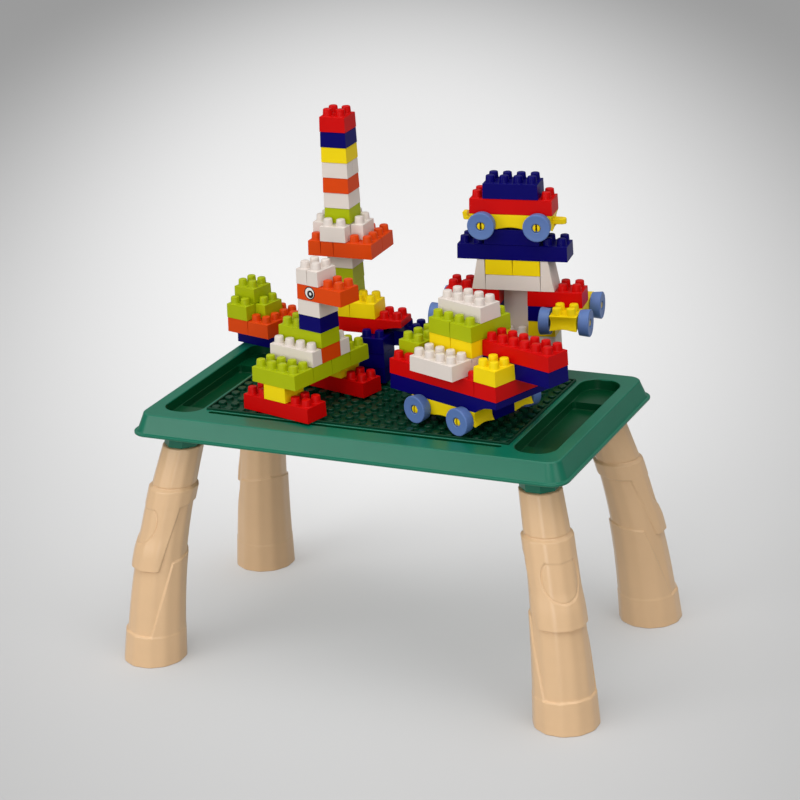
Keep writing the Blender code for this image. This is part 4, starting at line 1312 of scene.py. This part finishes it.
def legRadius(share, away):
    # The radius of a leg at a share of the way down, away degrees from its outward side
    shape = legShape
    plates = legPlates
    cone = shape["topRadius"] + (shape["footRadius"] - plates["ringProud"] - shape["topRadius"]) * share
    down = shape["top"] / shape["soft"]
    arc = cone * math.pi / 180 / shape["soft"]
    turn = abs(away)

    def below(start):
        return ease((share - start) * down)

    # The sleeve goes all the way round; the knee plate carries on from it on the outer side
    sleeveEnd = plates["sleeveEnd"] - plates["sleeveTilt"] * turn / 90
    sleeve = below(plates["sleeveStart"]) * (1 - below(sleeveEnd))
    cuff = plates["plateStep"]
    cuff += (plates["sleeveProud"] - cuff) * (1 - between(plates["sleeveStart"], plates["sleeveEnd"], share))
    kneeShare = between(plates["sleeveEnd"], plates["kneeEnd"], share)
    kneeWide = plates["kneeWideTop"] + (plates["kneeWideEnd"] - plates["kneeWideTop"]) * kneeShare
    knee = ease((kneeWide - turn) * arc) * below(sleeveEnd) * (1 - below(plates["kneeEnd"]))
    toWaist = ease(2 * between(plates["sleeveEnd"], plates["waist"], share) - 1)
    toBulge = ease(2 * between(plates["waist"], plates["bulge"], share) - 1)
    facing = max(0.0, math.cos(math.radians(away)))
    proud = plates["plateStep"] * (1 - toWaist / 3)
    proud += (plates["kneeProud"] - proud) * toBulge * facing
    oval = math.hypot((share - plates["ovalAt"]) / plates["ovalHalfHeight"], turn / plates["ovalHalfWidth"])
    fromOval = (1 - oval) * plates["ovalHalfHeight"] * shape["top"]
    proud -= plates["ovalDepth"] * ease(fromOval / shape["soft"])

    # Fine lines round the oval and above the sleeve
    line = max(0.0, 1 - abs(fromOval) / plates["lineWidth"]) * knee
    fromSleeve = (share - plates["sleeveStart"]) * shape["top"] + shape["soft"] + plates["lineWidth"]
    line += max(0.0, 1 - abs(fromSleeve) / plates["lineWidth"])

    # The calf plate on the inner side widens down to the foot ring
    calfShare = between(plates["calfStart"], plates["footRing"], share)
    calfWide = plates["calfWideTop"] + (plates["calfWideEnd"] - plates["calfWideTop"]) * calfShare
    calfStart = plates["calfStart"] + plates["calfTilt"] * (180 - turn) / 90
    calf = ease((turn - calfWide) * arc) * below(calfStart) * (1 - knee)
    ring = below(plates["footRing"] + plates["ringTilt"] * turn / 180)
    raised = sleeve * cuff + calf * plates["calfProud"] + knee * proud - line * plates["lineDepth"]
    raised += (plates["ringProud"] - raised) * ring
    facet = plates["facets"] * math.cos(math.radians(plates["facetCount"] * away))
    return cone * (1 + facet) + raised


def buildLeg(sideX, sideY, name):
    shape = legShape
    bm = bmesh.new()
    outward = math.atan2(sideY * (shape["footY"] - shape["topY"]), sideX * (shape["footX"] - shape["topX"]))
    top = shape["top"]
    rows = shape["rows"]
    rounding = shape["endRounding"]
    angles = [2 * math.pi * column / shape["columns"] for column in range(shape["columns"])]

    def ring(height, change, share):
        bend = shape["bend"] * math.sin(math.pi * share)
        centre = onCircle(legCentre(height, sideX, sideY), bend, outward, height)
        verts = []
        for angle in angles:
            away = (math.degrees(angle - outward) + 180) % 360 - 180
            verts.append(bm.verts.new(onCircle(centre, legRadius(share, away) + change, angle, height)))
        return verts

    stations = []
    for step in range(shape["endSteps"] + 1):
        turn = math.pi / 2 * step / shape["endSteps"]
        stations.append((rounding * (1 - math.cos(turn)), -rounding * (1 - math.sin(turn))))
    loops = [ring(top - drop, change, drop / top) for drop, change in stations]
    clear = rounding * shape["endShare"]
    for row in range(1, rows):
        share = row / rows
        height = top * (1 - share)
        if clear < height < top - clear:
            loops.append(ring(height, 0.0, share))
    loops += [ring(drop, change, 1 - drop / top) for drop, change in stations[::-1]]
    for upper, lower in zip(loops, loops[1:]):
        closeBetween(bm, upper, lower)
    bm.faces.new(loops[-1])

    # The socket that takes the boss
    socket = []
    half = math.pi / table["bossSides"]
    for height in (top, top - table["spigotLength"] - shape["socketRoom"]):
        centre = legCentre(height, sideX, sideY)
        verts = []
        for angle in angles:
            radius = shape["socket"] * math.cos(half) / math.cos(angle % (2 * half) - half)
            verts.append(bm.verts.new(onCircle(centre, radius, angle, height)))
        socket.append(verts)
    closeBetween(bm, loops[0], socket[0])
    closeBetween(bm, socket[0], socket[1])
    bm.faces.new(socket[1])
    piece = newObject(pieceName(name, "Moulding"), bm, "sand")
    shadeRound(piece, 50)
    finishPiece(piece, "table", "sand", name)


for sideY, depthName in ((-1, "front"), (1, "rear")):
    for sideX, sideName in ((-1, "left"), (1, "right")):
        buildLeg(sideX, sideY, f"leg_{depthName}_{sideName}")
print("stage: legs")

for tool in (brickTile, flatTile, plateTile):
    dropObject(tool)

# Floor, lamps and camera

studio = {
    "floorHalf": 9.0,
    "floorRough": 0.9,
    # The floor's colour is painted: lighter in an oval pool of light and darker towards the edges, painted
    # light and painted shade
    "floorMiddle": (0.74, 0.74, 0.74),
    "floorEdge": (0.33, 0.33, 0.33),
    "glowMiddle": (0.30, 0.30, 0.30),  # a painted glow, added where the floor is seen, not to the light on the table
    "glowEdge": (0.12, 0.12, 0.12),
    "poolAt": (-0.807, 1.719, 0.0),  # the painted pool of light on the floor
    "poolTurn": 25.3,
    "poolSize": (0.71, 2.05, 1.0),
    "fadeFrom": 0.30,
    "fadeTo": 1.55,
    "skyLow": (0.14, 0.14, 0.14),  # the room near the horizon, and overhead
    "skyHigh": (0.68, 0.68, 0.68),
    "skyFrom": 0.15,
    "skyTo": 0.75,
}
lamps = {
    "frontLeft": {"place": (-1.9, -2.6, 1.5), "aim": (0.0, 0.0, 0.30), "size": 2.2, "power": 37.0},
    "top": {"place": (0.3, -0.6, 3.0), "aim": (0.0, 0.0, 0.30), "size": 2.4, "power": 32.0},
    "right": {"place": (2.8, -1.2, 1.6), "aim": (0.0, 0.0, 0.30), "size": 1.6, "power": 12.0},
    "low": {"place": (0.8, -3.2, 0.75), "aim": (0.0, 0.0, 0.15), "size": 1.3, "power": 22.0},
}


def floorMaterial():
    made = bpy.data.materials.new("paleFloor")
    made.use_nodes = True
    tree = made.node_tree
    shader = tree.nodes["Principled BSDF"]
    shader.inputs["Roughness"].default_value = studio["floorRough"]
    shader.inputs["Specular IOR Level"].default_value = 0.0
    place = addNode(tree, "ShaderNodeTexCoord").outputs["Object"]
    oval = {
        "Location": studio["poolAt"],
        "Rotation": (0, 0, math.radians(studio["poolTurn"])),
        "Scale": studio["poolSize"],
    }
    pool = addNode(tree, "ShaderNodeMapping", {"vector_type": "TEXTURE"}, oval, {"Vector": place})
    away = addNode(tree, "ShaderNodeVectorMath", {"operation": "LENGTH"}, (), {0: pool.outputs["Vector"]})
    fade = fadeNode(tree, studio["fadeFrom"], studio["fadeTo"], away.outputs["Value"])
    # Painted pool of light in the oval and painted shade out to the edges, in base colour and glow alike
    for kind, socket in (("floor", "Base Color"), ("glow", "Emission Color")):
        tone = toneNode(tree, studio[kind + "Middle"], studio[kind + "Edge"], fade.outputs["Result"])
        tree.links.new(tone.outputs["Result"], shader.inputs[socket])

    # The painted glow is there for what looks at the floor, straight or in gloss or glass
    path = addNode(tree, "ShaderNodeLightPath").outputs
    seen = path["Is Camera Ray"]
    for ray in ("Is Glossy Ray", "Is Transmission Ray"):
        both = {0: seen, 1: path[ray]}
        seen = addNode(tree, "ShaderNodeMath", {"operation": "MAXIMUM"}, (), both).outputs["Value"]
    tree.links.new(seen, shader.inputs["Emission Strength"])
    return made


def fadeNode(tree, start, end, value):
    reach = {"From Min": start, "From Max": end}
    smooth = {"interpolation_type": "SMOOTHSTEP"}
    return addNode(tree, "ShaderNodeMapRange", smooth, reach, {"Value": value})


def paintSky(tree):
    place = addNode(tree, "ShaderNodeTexCoord").outputs["Generated"]
    parts = addNode(tree, "ShaderNodeSeparateXYZ", (), (), {"Vector": place})
    rise = fadeNode(tree, studio["skyFrom"], studio["skyTo"], parts.outputs["Z"])
    tone = toneNode(tree, studio["skyLow"], studio["skyHigh"], rise.outputs["Result"])
    tree.links.new(tone.outputs["Result"], tree.nodes["Background"].inputs["Color"])


def buildStudio():
    half = studio["floorHalf"]
    bm = bmesh.new()
    corners = ((-half, -half, 0), (half, -half, 0), (half, half, 0), (-half, half, 0))
    bm.faces.new([bm.verts.new(corner) for corner in corners])
    floor = newObject("paleFloorSheet", bm)
    floor.data.materials.append(floorMaterial())
    world = bpy.context.scene.world or bpy.data.worlds.new("studio")
    bpy.context.scene.world = world
    world.use_nodes = True
    paintSky(world.node_tree)
    for name, lamp in lamps.items():
        light = bpy.data.lights.new(name, "AREA")
        light.shape = "SQUARE"
        light.size = lamp["size"]
        light.energy = lamp["power"]
        holder = bpy.data.objects.new(name, light)
        bpy.context.collection.objects.link(holder)
        holder.location = lamp["place"]
        aim = Vector(lamp["aim"]) - Vector(lamp["place"])
        holder.rotation_euler = aim.to_track_quat("-Z", "Y").to_euler()


camera = {
    "focalPixels": 2482.5266,
    "imageWidth": 800,
    "sensor": 36.0,
    "seesTo": 60,
    "place": (1.136182, -2.394054, 1.279868),
    "yaw": -0.4399599,  # radians, as the two below
    "pitch": 0.3557448,
    "roll": -0.0510356,
}


def buildCamera():
    yaw, down, roll = camera["yaw"], camera["pitch"], camera["roll"]
    forward = Vector((math.sin(yaw) * math.cos(down), math.cos(yaw) * math.cos(down), -math.sin(down)))
    level = Vector((math.cos(yaw), -math.sin(yaw), 0))
    upright = level.cross(forward)
    right = math.cos(roll) * level + math.sin(roll) * upright
    above = -math.sin(roll) * level + math.cos(roll) * upright
    data = bpy.data.cameras.new("photoView")
    data.sensor_width = camera["sensor"]
    data.lens = camera["focalPixels"] / camera["imageWidth"] * camera["sensor"]
    data.clip_end = camera["seesTo"]
    holder = bpy.data.objects.new("photoView", data)
    bpy.context.collection.objects.link(holder)
    columns = Matrix((right, above, -forward)).transposed().to_4x4()
    holder.matrix_world = Matrix.Translation(camera["place"]) @ columns
    bpy.context.scene.camera = holder


buildStudio()
buildCamera()
bpy.context.scene.view_settings.view_transform = "Standard"
print("stage: studio and camera")
